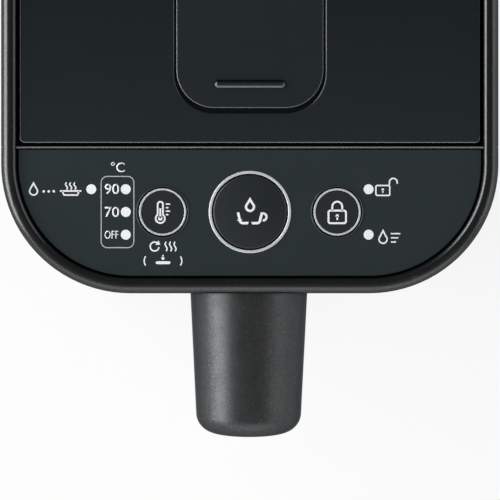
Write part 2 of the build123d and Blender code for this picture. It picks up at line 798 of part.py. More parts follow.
with BuildPart() as strainer:
    post((0, vessel_y), strainer_radius, (vessel_floor, vessel_floor + strainer_height))
    fillet(strainer.edges().group_by(Axis.Z)[-1], strainer_height / 3)
    post(
        (0, vessel_y),
        strainer_radius - vessel_wall,
        (vessel_floor, vessel_floor + strainer_height - vessel_wall),
        Mode.SUBTRACT,
    )
    with Locations((0, vessel_y, vessel_floor + strainer_height)):
        with PolarLocations(strainer_radius / 2, strainer_holes):
            Hole(strainer_hole, depth=vessel_wall)
strainer.part.label = "strainer"
export_step(strainer.part, "parts/strainer.step")

# ================================================================ pump
chamber_bottom = vessel_under - chamber_height
chamber_floor = chamber_bottom + chamber_wall
port_front = vessel_y - chamber_radius - port_length

with BuildPart() as pump_chamber:
    post((0, vessel_y), chamber_radius, (chamber_bottom, vessel_under))
    bar_y(0, port_z, pipe_radius, (port_front, vessel_y))
    post(
        (0, vessel_y),
        chamber_radius - chamber_wall,
        (chamber_floor, vessel_under - chamber_wall),
        Mode.SUBTRACT,
    )
    post((0, vessel_y), inlet_radius, (vessel_under - chamber_wall, vessel_under), Mode.SUBTRACT)
    bar_y(0, port_z, pipe_bore, (port_front, vessel_y), Mode.SUBTRACT)
    post((0, vessel_y), spindle_radius, (chamber_bottom, chamber_floor + spindle_height))
pump_chamber.part.label = "pump_chamber"
export_step(pump_chamber.part, "parts/pump_chamber.step")

impeller_z = chamber_floor + axial_gap
with BuildPart() as impeller:
    post((0, vessel_y), impeller_radius, (impeller_z, impeller_z + impeller_disc))
    with BuildSketch(Plane.XY.offset(impeller_z)):
        with Locations((0, vessel_y)):
            with PolarLocations(impeller_radius / 2, impeller_blades):
                Rectangle(impeller_radius - 2 * blade_wall / 3, blade_wall)
    extrude(amount=impeller_height)
    post((0, vessel_y), impeller_hub, (impeller_z, impeller_z + impeller_height))
    post(
        (0, vessel_y),
        spindle_radius + running_gap,
        (impeller_z, impeller_z + impeller_height),
        Mode.SUBTRACT,
    )
impeller.part.label = "impeller"
export_step(impeller.part, "parts/impeller.step")

mount_bottom = chamber_bottom - mount_height - mount_wall
magnet_top = chamber_bottom - axial_gap
with BuildPart() as motor_mount:
    post((0, vessel_y), chamber_radius, (mount_bottom, chamber_bottom))
    post(
        (0, vessel_y),
        chamber_radius - mount_wall,
        (mount_bottom + mount_wall, chamber_bottom),
        Mode.SUBTRACT,
    )
    post((0, vessel_y), 2 * shaft_radius, (mount_bottom, chamber_bottom), Mode.SUBTRACT)
motor_mount.part.label = "motor_mount"
export_step(motor_mount.part, "parts/motor_mount.step")

with BuildPart() as pump_motor:
    post((0, vessel_y), motor_radius, (mount_bottom - motor_height, mount_bottom))
    fillet(pump_motor.edges().group_by(Axis.Z)[0], motor_radius / 8)
    post(
        (0, vessel_y),
        shaft_radius + running_gap,
        (mount_bottom - shaft_depth - axial_gap, mount_bottom),
        Mode.SUBTRACT,
    )
pump_motor.part.label = "pump_motor"
export_step(pump_motor.part, "parts/pump_motor.step")

with BuildPart() as motor_shaft:
    post((0, vessel_y), shaft_radius, (mount_bottom - shaft_depth, magnet_top))
motor_shaft.part.label = "motor_shaft"
export_step(motor_shaft.part, "parts/motor_shaft.step")

with BuildPart() as drive_magnet:
    post((0, vessel_y), magnet_radius, (magnet_top - magnet_height, magnet_top))
    fillet(drive_magnet.edges().filter_by(GeomType.CIRCLE), magnet_height / 8)
    magnet_bore = shaft_radius + seat_gap
    post((0, vessel_y), magnet_bore, (magnet_top - magnet_height, magnet_top), Mode.SUBTRACT)
drive_magnet.part.label = "drive_magnet"
export_step(drive_magnet.part, "parts/drive_magnet.step")

# ================================================================ water path
sleeve_bore = pipe_radius + pipe_gap
sleeve_radius = pipe_radius + hose_wall
tube_bottom = port_z + elbow_radius
valve_seat_z = shoulder_z + valve_lift
valve_bottom = valve_seat_z - socket_depth
valve_top = spout_z + pipe_radius + valve_cap
ball_z = valve_seat_z + valve_seat + sqrt(ball_radius ** 2 - valve_seat_radius ** 2) + ball_gap
valve_port_front = valve_y - valve_radius - socket_depth
spout_taper = (spout_root_radius - spout_tip_radius) / spout_length
nozzle_along = (front_y - nozzle_y) / cos(droop)
nozzle_spout_radius = spout_root_radius - spout_taper * nozzle_along
spout_under = spout_z - nozzle_along * sin(droop) - nozzle_spout_radius / cos(droop)
nozzle_bottom = spout_under - nozzle_out
pad_z = spout_under + pad_height
stub_z = pad_z + nozzle_flange_wall


def hose(start, corner, end, radius):
    """A rubber sleeve in the plane X = 0 that turns one corner, from (y, z) to (y, z)."""
    with BuildLine(Plane.YZ) as route:
        FilletPolyline(start, corner, end, radius=radius)
    with BuildSketch(Plane(origin=(0, *start), z_dir=(0, -1, 0))) as section:
        Circle(sleeve_radius)
        Circle(sleeve_bore, mode=Mode.SUBTRACT)
    sweep(section.sketch, path=route.line)


with BuildPart() as outlet_hose:
    hose(
        (vessel_y - chamber_radius - sleeve_gap, port_z),
        (tube_y, port_z),
        (tube_y, tube_bottom + socket_depth),
        elbow_radius,
    )
outlet_hose.part.label = "outlet_hose"
export_step(outlet_hose.part, "parts/outlet_hose.step")

with BuildPart() as level_tube:
    post((0, tube_y), pipe_radius, (tube_bottom, valve_seat_z))
    post((0, tube_y), pipe_bore, (tube_bottom, valve_seat_z), Mode.SUBTRACT)
level_tube.part.label = "level_tube"
export_step(level_tube.part, "parts/level_tube.step")

with BuildPart() as tip_over_valve:
    post((0, valve_y), valve_radius, (valve_bottom, valve_top))
    post(
        (0, valve_y),
        valve_radius + valve_flange,
        (shelf_z + shelf_wall, shelf_z + 2 * shelf_wall),
    )
    bar_y(0, spout_z, pipe_radius, (valve_port_front, valve_y))
    post((0, valve_y), pipe_radius + pipe_gap, (valve_bottom, valve_seat_z), Mode.SUBTRACT)
    post((0, valve_y), valve_seat_radius, (valve_seat_z, valve_seat_z + valve_seat), Mode.SUBTRACT)
    post(
        (0, valve_y),
        valve_cavity,
        (valve_seat_z + valve_seat, valve_top - valve_cap),
        Mode.SUBTRACT,
    )
    bar_y(0, spout_z, pipe_bore, (valve_port_front, valve_y), Mode.SUBTRACT)
tip_over_valve.part.label = "tip_over_valve"
export_step(tip_over_valve.part, "parts/tip_over_valve.step")

with BuildPart() as valve_ball:
    with Locations((0, valve_y, ball_z)):
        Sphere(ball_radius)
valve_ball.part.label = "valve_ball"
export_step(valve_ball.part, "parts/valve_ball.step")

with BuildPart() as gauge_window:
    with BuildSketch(facing_front(front_y)):
        with Locations((0, gauge_middle)):
            RectangleRounded(
                gauge_width - 2 * gauge_gap, gauge_height - 2 * gauge_gap, gauge_corner - gauge_gap
            )
    extrude(amount=-shell_wall)
    with BuildSketch(facing_front(front_y + shell_wall)):
        with Locations((0, gauge_middle)):
            RectangleRounded(
                gauge_width + 2 * gauge_flange,
                gauge_height + 2 * gauge_flange,
                gauge_corner + gauge_flange,
            )
    extrude(amount=-gauge_flange_wall)
gauge_window.part.label = "gauge_window"
export_step(gauge_window.part, "parts/gauge_window.step")

# ================================================================ spout
spout_plane = Plane(
    origin=(0, front_y, spout_z), x_dir=(0, -cos(droop), -sin(droop)), z_dir=(-1, 0, 0)
)
spout_axis = Axis((0, front_y, spout_z), (0, -cos(droop), -sin(droop)))


def spout_form(inset):
    """The spout's drooping tapered body, moved in by inset, behind as well as before its root."""
    behind = -spigot_length
    length = spout_length - inset
    with BuildSketch(spout_plane) as profile:
        with BuildLine():
            Polyline(
                (behind, 0),
                (behind, spout_root_radius - spout_taper * behind - inset),
                (length, spout_tip_radius - inset),
                (length, 0),
                close=True,
            )
        make_face()
        tip = profile.vertices().sort_by(Axis.X)[-2:].sort_by(Axis.Y)[-1]
        fillet(tip, spout_tip_round - inset)
    revolve(profile.sketch, axis=spout_axis)


with BuildPart() as spout_hollow:
    spout_form(spout_wall)
    split(bisect_by=facing_front(front_y - spout_wall), keep=Keep.TOP)
    post((0, nozzle_y), pad_radius, (nozzle_bottom, pad_z), Mode.SUBTRACT)

with BuildPart() as spout_cover:
    spout_form(0)
    split(bisect_by=facing_front(front_y), keep=Keep.TOP)
    bar_y(0, spout_z, spigot_radius, (front_y, front_y + spigot_length))
    add(spout_hollow.part, mode=Mode.SUBTRACT)
    bar_y(
        0,
        spout_z,
        spigot_radius - spout_wall,
        (front_y - spout_wall, front_y + spigot_length),
        Mode.SUBTRACT,
    )
    post((0, nozzle_y), nozzle_radius + nozzle_gap, (nozzle_bottom, pad_z), Mode.SUBTRACT)
spout_cover.part.label = "spout_cover"
export_step(spout_cover.part, "parts/spout_cover.step")

with BuildPart() as spout_nozzle:
    post((0, nozzle_y), nozzle_radius, (nozzle_bottom, pad_z))
    fillet(spout_nozzle.edges().group_by(Axis.Z)[0], nozzle_round)
    post((0, nozzle_y), nozzle_radius + nozzle_flange, (pad_z, stub_z))
    post((0, nozzle_y), pipe_radius, (stub_z, stub_z + socket_depth))
    post((0, nozzle_y), pipe_bore, (nozzle_bottom, stub_z + socket_depth), Mode.SUBTRACT)
spout_nozzle.part.label = "spout_nozzle"
export_step(spout_nozzle.part, "parts/spout_nozzle.step")

with BuildPart() as spout_pipe:
    hose(
        (valve_y - valve_radius - sleeve_gap, spout_z),
        (nozzle_y, spout_z),
        (nozzle_y, stub_z + sleeve_gap),
        spout_elbow_radius,
    )
spout_pipe.part.label = "spout_pipe"
export_step(spout_pipe.part, "parts/spout_pipe.step")

# ================================================================ control panel
board_bottom = board_top - board_wall
switch_top = board_top + switch_height + actuator_height
dispense_radius = ring_radius - ring_width - dispense_gap
key_hole = key_radius + key_gap
key_places = [(side * button_spread, button_y) for side in (-1, 1)]
post_places = [
    (side * post_place[0], button_y + end * post_place[1]) for side in (-1, 1) for end in (-1, 1)
]

with BuildPart() as control_panel:
    with BuildSketch(Plane.XY.offset(panel_bottom)):
        casing_outline(rim_width + panel_gap)
        keep_between(front_y, partition_front - panel_rear_gap)
    extrude(amount=panel_wall)
    fillet(control_panel.edges().group_by(Axis.Z)[-1], panel_edge_round)
    post((0, button_y), ring_radius + seat_gap, (panel_bottom, panel_top), Mode.SUBTRACT)
    for place in key_places:
        post(place, key_hole, (panel_bottom, panel_top), Mode.SUBTRACT)
    hole_edges = control_panel.edges().filter_by(GeomType.CIRCLE)
    hole_edges = hole_edges.filter_by_position(Axis.Z, panel_top, panel_top)
    chamfer(hole_edges.sort_by(SortBy.RADIUS)[:2], key_hole_chamfer)
    for place in lamp_places:
        post(place, lamp_radius + lamp_gap, (panel_bottom, panel_top), Mode.SUBTRACT)
    for place in post_places:
        post(place, post_radius, (board_top, panel_bottom))
        post(place, screw_seat, (board_top, board_top + short_screw), Mode.SUBTRACT)
control_panel.part.label = "control_panel"
export_step(control_panel.part, "parts/control_panel.step")

with BuildPart() as dispense_ring:
    post((0, button_y), ring_radius, (panel_bottom, panel_top + ring_lift))
    ring_bore = ring_radius - ring_width
    post((0, button_y), ring_bore, (panel_bottom, panel_top + ring_lift), Mode.SUBTRACT)
    fillet(dispense_ring.edges().group_by(Axis.Z)[-1], ring_lift)
dispense_ring.part.label = "dispense_ring"
export_step(dispense_ring.part, "parts/dispense_ring.step")

flange_span = (panel_bottom - flange_gap - flange_wall, panel_bottom - flange_gap)


def button_body(place, radius, hole, travel):
    """A button's cap, with a retaining flange below the panel and a stem above its switch."""
    post(place, radius, (flange_span[0], panel_top))
    post(place, hole + button_flange, flange_span)
    post(place, radius - button_wall, (flange_span[0], panel_top - button_crown), Mode.SUBTRACT)
    post(place, stem_radius, (switch_top + travel + press_gap, panel_top - button_crown))


with BuildPart() as dispense_button:
    button_body((0, button_y), dispense_radius, ring_radius - ring_width, dispense_travel)
    # its domed face starts level with the panel
    face_depth = sqrt(face_radius ** 2 - dispense_radius ** 2)
    post((0, button_y), dispense_radius, (panel_top, panel_top + face_radius - face_depth))
    with Locations((0, button_y, panel_top - face_depth)):
        Sphere(face_radius, mode=Mode.INTERSECT)
    face_edge = dispense_button.edges().filter_by(GeomType.CIRCLE)
    fillet(face_edge.filter_by_position(Axis.Z, panel_top, panel_top), face_round)
dispense_button.part.label = "dispense_button"
export_step(dispense_button.part, "parts/dispense_button.step")


def key_button(place):
    """A small button, stepped down around its edge for its metal ring."""
    button_body(place, key_radius, key_hole, key_travel)
    with Locations((*place, panel_top - key_ring_depth / 2)):
        Cylinder(key_radius, key_ring_depth, mode=Mode.SUBTRACT)
        Cylinder(key_radius - key_ring_width - seat_gap, key_ring_depth)


def key_ring(place):
    """The metal ring around a small button's edge."""
    post(place, key_radius, (panel_top - key_ring_depth, panel_top))
    post(place, key_radius - key_ring_width, (panel_top - key_ring_depth, panel_top), Mode.SUBTRACT)


with BuildPart() as keep_warm_button:
    key_button(key_places[0])
keep_warm_button.part.label = "keep_warm_button"
export_step(keep_warm_button.part, "parts/keep_warm_button.step")

with BuildPart() as keep_warm_ring:
    key_ring(key_places[0])
    fillet(keep_warm_ring.edges().group_by(Axis.Z)[-1], ring_lift)
keep_warm_ring.part.label = "keep_warm_ring"
export_step(keep_warm_ring.part, "parts/keep_warm_ring.step")

with BuildPart() as unlock_button:
    key_button(key_places[1])
unlock_button.part.label = "unlock_button"
export_step(unlock_button.part, "parts/unlock_button.step")

with BuildPart() as unlock_ring:
    key_ring(key_places[1])
    fillet(unlock_ring.edges().group_by(Axis.Z)[-1], ring_lift)
unlock_ring.part.label = "unlock_ring"
export_step(unlock_ring.part, "parts/unlock_ring.step")

with BuildPart() as lamp_lenses:
    for place in lamp_places:
        post(place, lamp_radius, (board_top + board_lift, panel_top))
        post(place, lamp_radius + lamp_flange, (panel_bottom - flange_wall, panel_bottom))
lamp_lenses.part.label = "lamp_lenses"
export_step(lamp_lenses.part, "parts/lamp_lenses.step")

with BuildPart() as control_board:
    with BuildSketch(Plane.XY.offset(board_bottom)):
        with Locations((0, button_y)):
            RectangleRounded(board_width, board_depth, post_radius)
        with Locations(*post_places):
            Circle(screw_clearance, mode=Mode.SUBTRACT)
    extrude(amount=board_wall)
control_board.part.label = "control_board"
export_step(control_board.part, "parts/control_board.step")

with BuildPart() as tact_switches:
    for x, y in ((0, button_y), *key_places):
        with Locations((x, y, board_top + switch_height / 2)):
            Box(switch_size, switch_size, switch_height)
        post((x, y), actuator_radius, (board_top + switch_height, switch_top))
tact_switches.part.label = "tact_switches"
export_step(tact_switches.part, "parts/tact_switches.step")

# ================================================================ power board and socket
power_board_top = standoff_top + board_wall

with BuildPart() as power_board:
    with BuildSketch(Plane.XY.offset(standoff_top)):
        with Locations((0, board_y)):
            RectangleRounded(power_board_width, power_board_depth, post_radius)
        with Locations(*board_screw_places):
            Circle(screw_clearance, mode=Mode.SUBTRACT)
    extrude(amount=board_wall)
power_board.part.label = "power_board"
export_step(power_board.part, "parts/power_board.step")

with BuildPart() as board_components:
    with Locations((-power_board_width / 4, board_y, power_board_top + transformer_size[2] / 2)):
        Box(*transformer_size)
    relay_place = (power_board_width / 4, board_y - relay_size[1] / 2)
    with Locations((*relay_place, power_board_top + relay_size[2] / 2)):
        Box(*relay_size)
    capacitor_place = (power_board_width / 4, board_y + 2 * capacitor_radius)
    post(capacitor_place, capacitor_radius, (power_board_top, power_board_top + capacitor_height))
board_components.part.label = "board_components"
export_step(board_components.part, "parts/board_components.step")

with BuildPart() as board_screws:
    for place in post_places:
        screw(place, board_bottom, board_wall + short_screw)
    for place in board_screw_places:
        screw(place, power_board_top, board_wall + standoff_height, -1)
board_screws.part.label = "board_screws"
export_step(board_screws.part, "parts/board_screws.step")

recess_floor_y = rear_y - socket_deep

with BuildPart() as power_socket:
    with BuildSketch(facing_front(rear_y)):
        with Locations((0, socket_middle)):
            RectangleRounded(
                socket_width - 2 * socket_gap, socket_tall - 2 * socket_gap, socket_corner - socket_gap
            )
    extrude(amount=socket_body)
    with BuildSketch(facing_front(rear_y - shell_wall)):
        with Locations((0, socket_middle)):
            RectangleRounded(
                socket_width + 2 * socket_flange, socket_tall + 2 * socket_flange, socket_corner
            )
    extrude(amount=socket_flange_wall)
    with BuildSketch(facing_front(rear_y)):
        with Locations((0, socket_middle)):
            RectangleRounded(
                socket_width - 2 * socket_rim, socket_tall - 2 * socket_rim, socket_corner / 2
            )
    extrude(amount=socket_deep, mode=Mode.SUBTRACT)
    for side in (-1, 1):
        # holes for the contacts and sunk seats for the magnets
        bar_y(
            side * contact_spread,
            socket_middle,
            contact_radius + seat_gap,
            (rear_y - socket_body, recess_floor_y),
            Mode.SUBTRACT,
        )
        block(
            (side * keeper_spread - keeper_width / 2, side * keeper_spread + keeper_width / 2),
            (recess_floor_y - keeper_sink, recess_floor_y),
            (socket_middle - keeper_tall / 2, socket_middle + keeper_tall / 2),
            Mode.SUBTRACT,
        )
power_socket.part.label = "power_socket"
export_step(power_socket.part, "parts/power_socket.step")

with BuildPart() as socket_contacts:
    for side in (-1, 1):
        bar_y(
            side * contact_spread,
            socket_middle,
            contact_radius,
            (rear_y - socket_body, recess_floor_y + contact_length),
        )
    fillet(socket_contacts.edges().group_by(Axis.Y)[-1], contact_radius / 2)
socket_contacts.part.label = "socket_contacts"
export_step(socket_contacts.part, "parts/socket_contacts.step")

with BuildPart() as socket_magnets:
    for side in (-1, 1):
        block(
            (side * keeper_spread - keeper_width / 2, side * keeper_spread + keeper_width / 2),
            (recess_floor_y - keeper_sink, recess_floor_y - keeper_sink + keeper_wall),
            (socket_middle - keeper_tall / 2, socket_middle + keeper_tall / 2),
        )
socket_magnets.part.label = "socket_magnets"
export_step(socket_magnets.part, "parts/socket_magnets.step")

# ================================================================ lid
lid_rear = hinge_y - hinge_tongue
base_z = skirt_bottom + base_lift
base_plate_top = base_z + base_plate
recess_front = lever_front_y - lever_finger_gap
link_z = hook_z - hook_bar - link_gap - link_radius
tail_front = hook_y + hook_barrel
hook_pin_half = hook_width / 2 + turn_gap + ear_wall
link_half = tail_width / 2 + link_gap + link_cheek
lid_screw_places = [
    (side * lid_screw_place[0], vessel_y + end * lid_screw_place[1])
    for side in (-1, 1)
    for end in (-1, 1)
]
lid_boss_bottom = base_plate_top + screw_head_height


def lid_plan(z, inset):
    """Plan of the lid at a height, moved in by inset: the casing's outline between two lines."""
    with BuildSketch(Plane.XY.offset(z)) as plan:
        casing_outline(rim_width + lid_side_gap + inset)
        keep_between(lid_front + inset, lid_rear - inset)
    return plan.sketch


def lever_plan(z, side, front, rear):
    """Plan of the lever at a height, grown to its sides, front and rear."""
    low = lever_front_y - front
    high = lever_y + rear
    with BuildSketch(Plane.XY.offset(z)) as plan:
        with Locations((0, (low + high) / 2)):
            Rectangle(lever_width + 2 * side, high - low)
        fillet(plan.vertices().group_by(Axis.Y)[0], lever_corner + side)
    return plan.sketch


with BuildPart() as lid_cover:
    extrude(lid_plan(skirt_bottom, 0), amount=lid_top - skirt_bottom)
    front_edges = lid_cover.edges().filter_by(Axis.Z).group_by(Axis.Y)[0]
    fillet(front_edges, lid_corner)
    fillet(lid_cover.edges().group_by(Axis.Z)[-1].sort_by(Axis.Y)[:-1], lid_edge_round)
    # hinged tongue and the barrel along its rear edge
    block((-tongue_half, tongue_half), (lid_rear - lid_skirt, hinge_y), (lid_underside, lid_top))
    bar_x(hinge_y, hinge_z, hinge_barrel, (-tongue_half, tongue_half))
    inside = lid_plan(skirt_bottom, lid_skirt)
    extrude(inside, amount=lid_underside - skirt_bottom, mode=Mode.SUBTRACT)
    # walls and floor of the lever's recess
    box_side = lever_side_gap + recess_wall
    box_front = lever_finger_gap + recess_wall
    recess_box = lever_plan(recess_z - recess_floor, box_side, box_front, 0)
    extrude(recess_box, amount=lid_underside - recess_z + recess_floor)
    recess = lever_plan(recess_z, lever_side_gap, lever_finger_gap, lever_barrel + turn_gap)
    extrude(recess, amount=lid_top - recess_z, mode=Mode.SUBTRACT)
    # the recess's edge is rounded in front of the lever, for a fingertip
    brink = lid_cover.edges().filter_by_position(Axis.Z, lid_top, lid_top)
    brink = brink.filter_by_position(Axis.Y, recess_front - recess_round, recess_front + lever_corner)
    fillet(brink, recess_round)
    recess_half = lever_width / 2 + lever_side_gap
    trough = (lever_y - lever_barrel - turn_gap, lever_y + lever_barrel + turn_gap)
    block((-recess_half, recess_half), trough, (base_plate_top, lid_top), Mode.SUBTRACT)
    for side in (-1, 1):
        cheek = sorted((side * recess_half, side * (recess_half + ear_wall)))
        cheek_y = (lever_y - lever_barrel, lever_y + lever_barrel)
        block(cheek, cheek_y, (lever_z - lever_barrel, lid_underside))
        bar_x(lever_y, lever_z, lever_pin_radius + seat_gap, cheek, Mode.SUBTRACT)
        # ears that hold the hook's pin
        ear = sorted((side * (hook_pin_half - ear_wall), side * hook_pin_half))
        ear_y = (hook_y - hook_barrel, hook_y + hook_barrel)
        block(ear, ear_y, (hook_z - hook_barrel, lid_underside))
        bar_x(hook_y, hook_z, hook_pin_radius + seat_gap, ear, Mode.SUBTRACT)
        # notches for the hinge lugs
        block(
            (side * lug_place - lug_span - turn_gap, side * lug_place + lug_span + turn_gap),
            (hinge_y - hinge_barrel - turn_gap, hinge_y + hinge_barrel),
            (hinge_z - hinge_barrel, lid_top),
            Mode.SUBTRACT,
        )
    # way for the hook's tail, and for its nose through the skirt
    tail_way = (-link_half - link_gap, link_half + link_gap)
    way_front = lever_front_y + tail_cover
    block(
        tail_way,
        (way_front, link_y + tail_overrun + 2 * link_radius),
        (recess_z - recess_floor, recess_z),
        Mode.SUBTRACT,
    )
    block(tail_way, (tail_front, way_front), (recess_z - recess_floor, recess_z - tail_cover), Mode.SUBTRACT)
    block(
        (-hook_width / 2 - nose_gap, hook_width / 2 + nose_gap),
        (lid_front, lid_front + lid_skirt),
        (skirt_bottom, nose_top + nose_gap),
        Mode.SUBTRACT,
    )
    hinge_bore = hinge_pin_radius + running_gap
    bar_x(hinge_y, hinge_z, hinge_bore, (-tongue_half, tongue_half), Mode.SUBTRACT)
    # opening for the steam vent
    with BuildSketch(Plane.XY.offset(lid_underside)):
        with Locations((0, vent_y)):
            SlotOverall(vent_length, vent_width)
    extrude(amount=lid_plate, mode=Mode.SUBTRACT)
    for place in lid_screw_places:
        post(place, lid_screw_boss, (lid_boss_bottom, lid_underside))
        post(place, screw_seat, (lid_boss_bottom, lid_boss_bottom + short_screw), Mode.SUBTRACT)
lid_cover.part.label = "lid_cover"
export_step(lid_cover.part, "parts/lid_cover.step")

plug_bottom = deck_top - plug_depth
gasket_inner = mouth_radius + mouth_margin
gasket_top = base_z + gasket_groove
duct_bore = duct_radius - vent_wall
duct_top = lid_underside - vent_depth
sleeve_top = duct_top - vent_wall
with BuildPart() as lid_base:
    extrude(lid_plan(base_z, lid_skirt + base_gap), amount=base_plate)
    post((0, vessel_y), plug_radius, (plug_bottom, base_plate_top))
    plug_inside = (plug_bottom + plug_wall, base_plate_top)
    post((0, vessel_y), plug_radius - plug_wall, plug_inside, Mode.SUBTRACT)
    # sleeve around the steam vent's duct
    post((0, vent_y), duct_radius + pipe_gap + vent_wall, (plug_bottom, sleeve_top))
    post((0, vent_y), duct_radius + pipe_gap, (plug_bottom + plug_wall, sleeve_top), Mode.SUBTRACT)
    post((0, vent_y), duct_bore, (plug_bottom, sleeve_top), Mode.SUBTRACT)
    # groove for the gasket
    with BuildSketch(Plane.XY.offset(base_z)):
        with Locations((0, vessel_y)):
            Circle(gasket_inner + gasket_width + seat_gap)
            Circle(gasket_inner - seat_gap, mode=Mode.SUBTRACT)
    extrude(amount=gasket_groove, mode=Mode.SUBTRACT)
    # notch for the hook
    block(
        (-hook_width / 2 - nose_gap, hook_width / 2 + nose_gap),
        (lid_front, hook_y + hook_barrel),
        (base_z, base_plate_top),
        Mode.SUBTRACT,
    )
    for place in lid_screw_places:
        post(place, lid_screw_boss, (base_z, lid_boss_bottom))
        post(place, screw_clearance, (base_z, lid_boss_bottom), Mode.SUBTRACT)
        post(place, screw_head + screw_play, (base_z, base_plate_top), Mode.SUBTRACT)
lid_base.part.label = "lid_base"
export_step(lid_base.part, "parts/lid_base.step")

with BuildPart() as inner_lid:
    lip = plug_radius + seat_gap
    lip_top = plug_bottom + inner_lid_lip
    post((0, vessel_y), lip + inner_lid_wall, (plug_bottom - inner_lid_wall, lip_top))
    fillet(inner_lid.edges().group_by(Axis.Z)[0], inner_lid_wall)
    post((0, vessel_y), lip, (plug_bottom, lip_top), Mode.SUBTRACT)
    with Locations((0, vent_y, plug_bottom)):
        with PolarLocations(duct_bore / 2, vent_slots):
            Hole(inner_lid_hole, depth=inner_lid_wall)
inner_lid.part.label = "inner_lid"
export_step(inner_lid.part, "parts/inner_lid.step")

with BuildPart() as lid_gasket:
    post((0, vessel_y), gasket_inner + gasket_width, (deck_top + gasket_gap, gasket_top))
    post((0, vessel_y), gasket_inner, (deck_top + gasket_gap, gasket_top), Mode.SUBTRACT)
    fillet(lid_gasket.edges().group_by(Axis.Z)[0], gasket_width / 8)
lid_gasket.part.label = "lid_gasket"
export_step(lid_gasket.part, "parts/lid_gasket.step")

with BuildPart() as lid_screws:
    for place in lid_screw_places:
        screw(place, base_plate_top, screw_head_height + short_screw)
lid_screws.part.label = "lid_screws"
export_step(lid_screws.part, "parts/lid_screws.step")

with BuildPart() as steam_vent:
    for size, low, high in (
        (-vent_gap, lid_underside, lid_top),
        (vent_wall, lid_underside - vent_wall, lid_underside),
        (-vent_wall, duct_top, lid_underside),
    ):
        with BuildSketch(Plane.XY.offset(low)):
            with Locations((0, vent_y)):
                SlotOverall(vent_length + 2 * size, vent_width + 2 * size)
        extrude(amount=high - low)
    post((0, vent_y), duct_radius, (sleeve_top - duct_overlap, duct_top))
    with BuildSketch(Plane.XY.offset(duct_top + vent_wall)):
        with Locations((0, vent_y)):
            SlotOverall(vent_length - 4 * vent_wall, vent_width - 4 * vent_wall)
    extrude(amount=lid_top - 2 * vent_wall - duct_top, mode=Mode.SUBTRACT)
    with BuildSketch(Plane.XY.offset(duct_top + vent_wall)):
        with Locations((0, vent_y)):
            with GridLocations(vent_slot_pitch, 0, vent_slots, 1):
                SlotOverall(vent_width - 4 * vent_wall, vent_slot_width, rotation=90)
    extrude(amount=lid_top - duct_top - vent_wall, mode=Mode.SUBTRACT)
    post((0, vent_y), duct_bore, (sleeve_top - duct_overlap, duct_top + vent_wall), Mode.SUBTRACT)
steam_vent.part.label = "steam_vent"
export_step(steam_vent.part, "parts/steam_vent.step")

# ---------------------------------------------------------------- lever and latch
with BuildPart() as lid_lever:
    extrude(lever_plan(lever_bottom, 0, 0, 0), amount=lever_plate)
    fillet(lid_lever.edges().group_by(Axis.Z)[-1].sort_by(Axis.Y)[:-1], lid_edge_round)
    bar_x(lever_y, lever_z, lever_barrel, (-lever_width / 2, lever_width / 2))
    # cheeks with a cross bar below the hook's tail
    for side in (-1, 1):
        cheek = sorted((side * (link_half - link_cheek), side * link_half))
        block(cheek, (link_y - 2 * link_radius, link_y + 2 * link_radius), (link_z, lever_bottom))
    bar_x(link_y, link_z, link_radius, (-link_half, link_half))
    # rounded grip line near the front edge
    with BuildSketch(Plane.XY.offset(lid_top)):
        with Locations((0, lever_front_y + grip_line_inset)):
            SlotOverall(grip_line_length, grip_line_width)
    extrude(amount=grip_line_height)
    fillet(lid_lever.edges().group_by(Axis.Z)[-1], grip_line_round)
    # room for the spring, and the pin's bore
    block(
        (-spring_gap, spring_gap),
        (lever_y - lever_barrel - turn_gap, lever_y + lever_barrel),
        (lever_z - lever_barrel, lever_bottom),
        Mode.SUBTRACT,
    )
    lever_bore = lever_pin_radius + running_gap
    bar_x(lever_y, lever_z, lever_bore, (-lever_width / 2, lever_width / 2), Mode.SUBTRACT)
lid_lever.part.label = "lid_lever"
export_step(lid_lever.part, "parts/lid_lever.step")

with BuildPart() as lever_pin:
    bar_x(lever_y, lever_z, lever_pin_radius, (-recess_half - ear_wall, recess_half + ear_wall))
lever_pin.part.label = "lever_pin"
export_step(lever_pin.part, "parts/lever_pin.step")

coil_length = spring_pitch * spring_turns
with BuildPart() as lever_spring:
    with BuildLine() as coil:
        Helix(
            pitch=spring_pitch,
            height=coil_length,
            radius=spring_radius,
            center=(-coil_length / 2, lever_y, lever_z),
            direction=(1, 0, 0),
        )
    with BuildSketch(Plane(origin=coil.line @ 0, z_dir=coil.line % 0)):
        Circle(spring_wire)
    sweep(is_frenet=True)
lever_spring.part.label = "lever_spring"
export_step(lever_spring.part, "parts/lever_spring.step")

with BuildPart() as latch_hook:
    bar_x(hook_y, hook_z, hook_barrel, (-hook_width / 2, hook_width / 2))
    # web down to the nose
    block(
        (-hook_width / 2, hook_width / 2),
        (hook_y - hook_barrel, hook_y + hook_barrel / 2),
        (nose_bottom, hook_z),
    )
    block((-hook_width / 2, hook_width / 2), (nose_front, hook_y), (nose_bottom, nose_top))
    # tail over the lever's cross bar
    tail_x = (-tail_width / 2, tail_width / 2)
    low_tail = (hook_z - tail_drop - hook_bar, hook_z - tail_drop)
    block(tail_x, (hook_y, hook_y + tail_step), low_tail)
    block(tail_x, (hook_y + tail_step, hook_y + tail_step + tail_web), (low_tail[0], hook_z))
    block(tail_x, (hook_y + tail_step, link_y + tail_overrun), (hook_z - hook_bar, hook_z))
    hook_bore = hook_pin_radius + running_gap
    bar_x(hook_y, hook_z, hook_bore, (-hook_width / 2, hook_width / 2), Mode.SUBTRACT)
latch_hook.part.label = "latch_hook"
export_step(latch_hook.part, "parts/latch_hook.step")

with BuildPart() as hook_pin:
    bar_x(hook_y, hook_z, hook_pin_radius, (-hook_pin_half, hook_pin_half))
hook_pin.part.label = "hook_pin"
export_step(hook_pin.part, "parts/hook_pin.step")

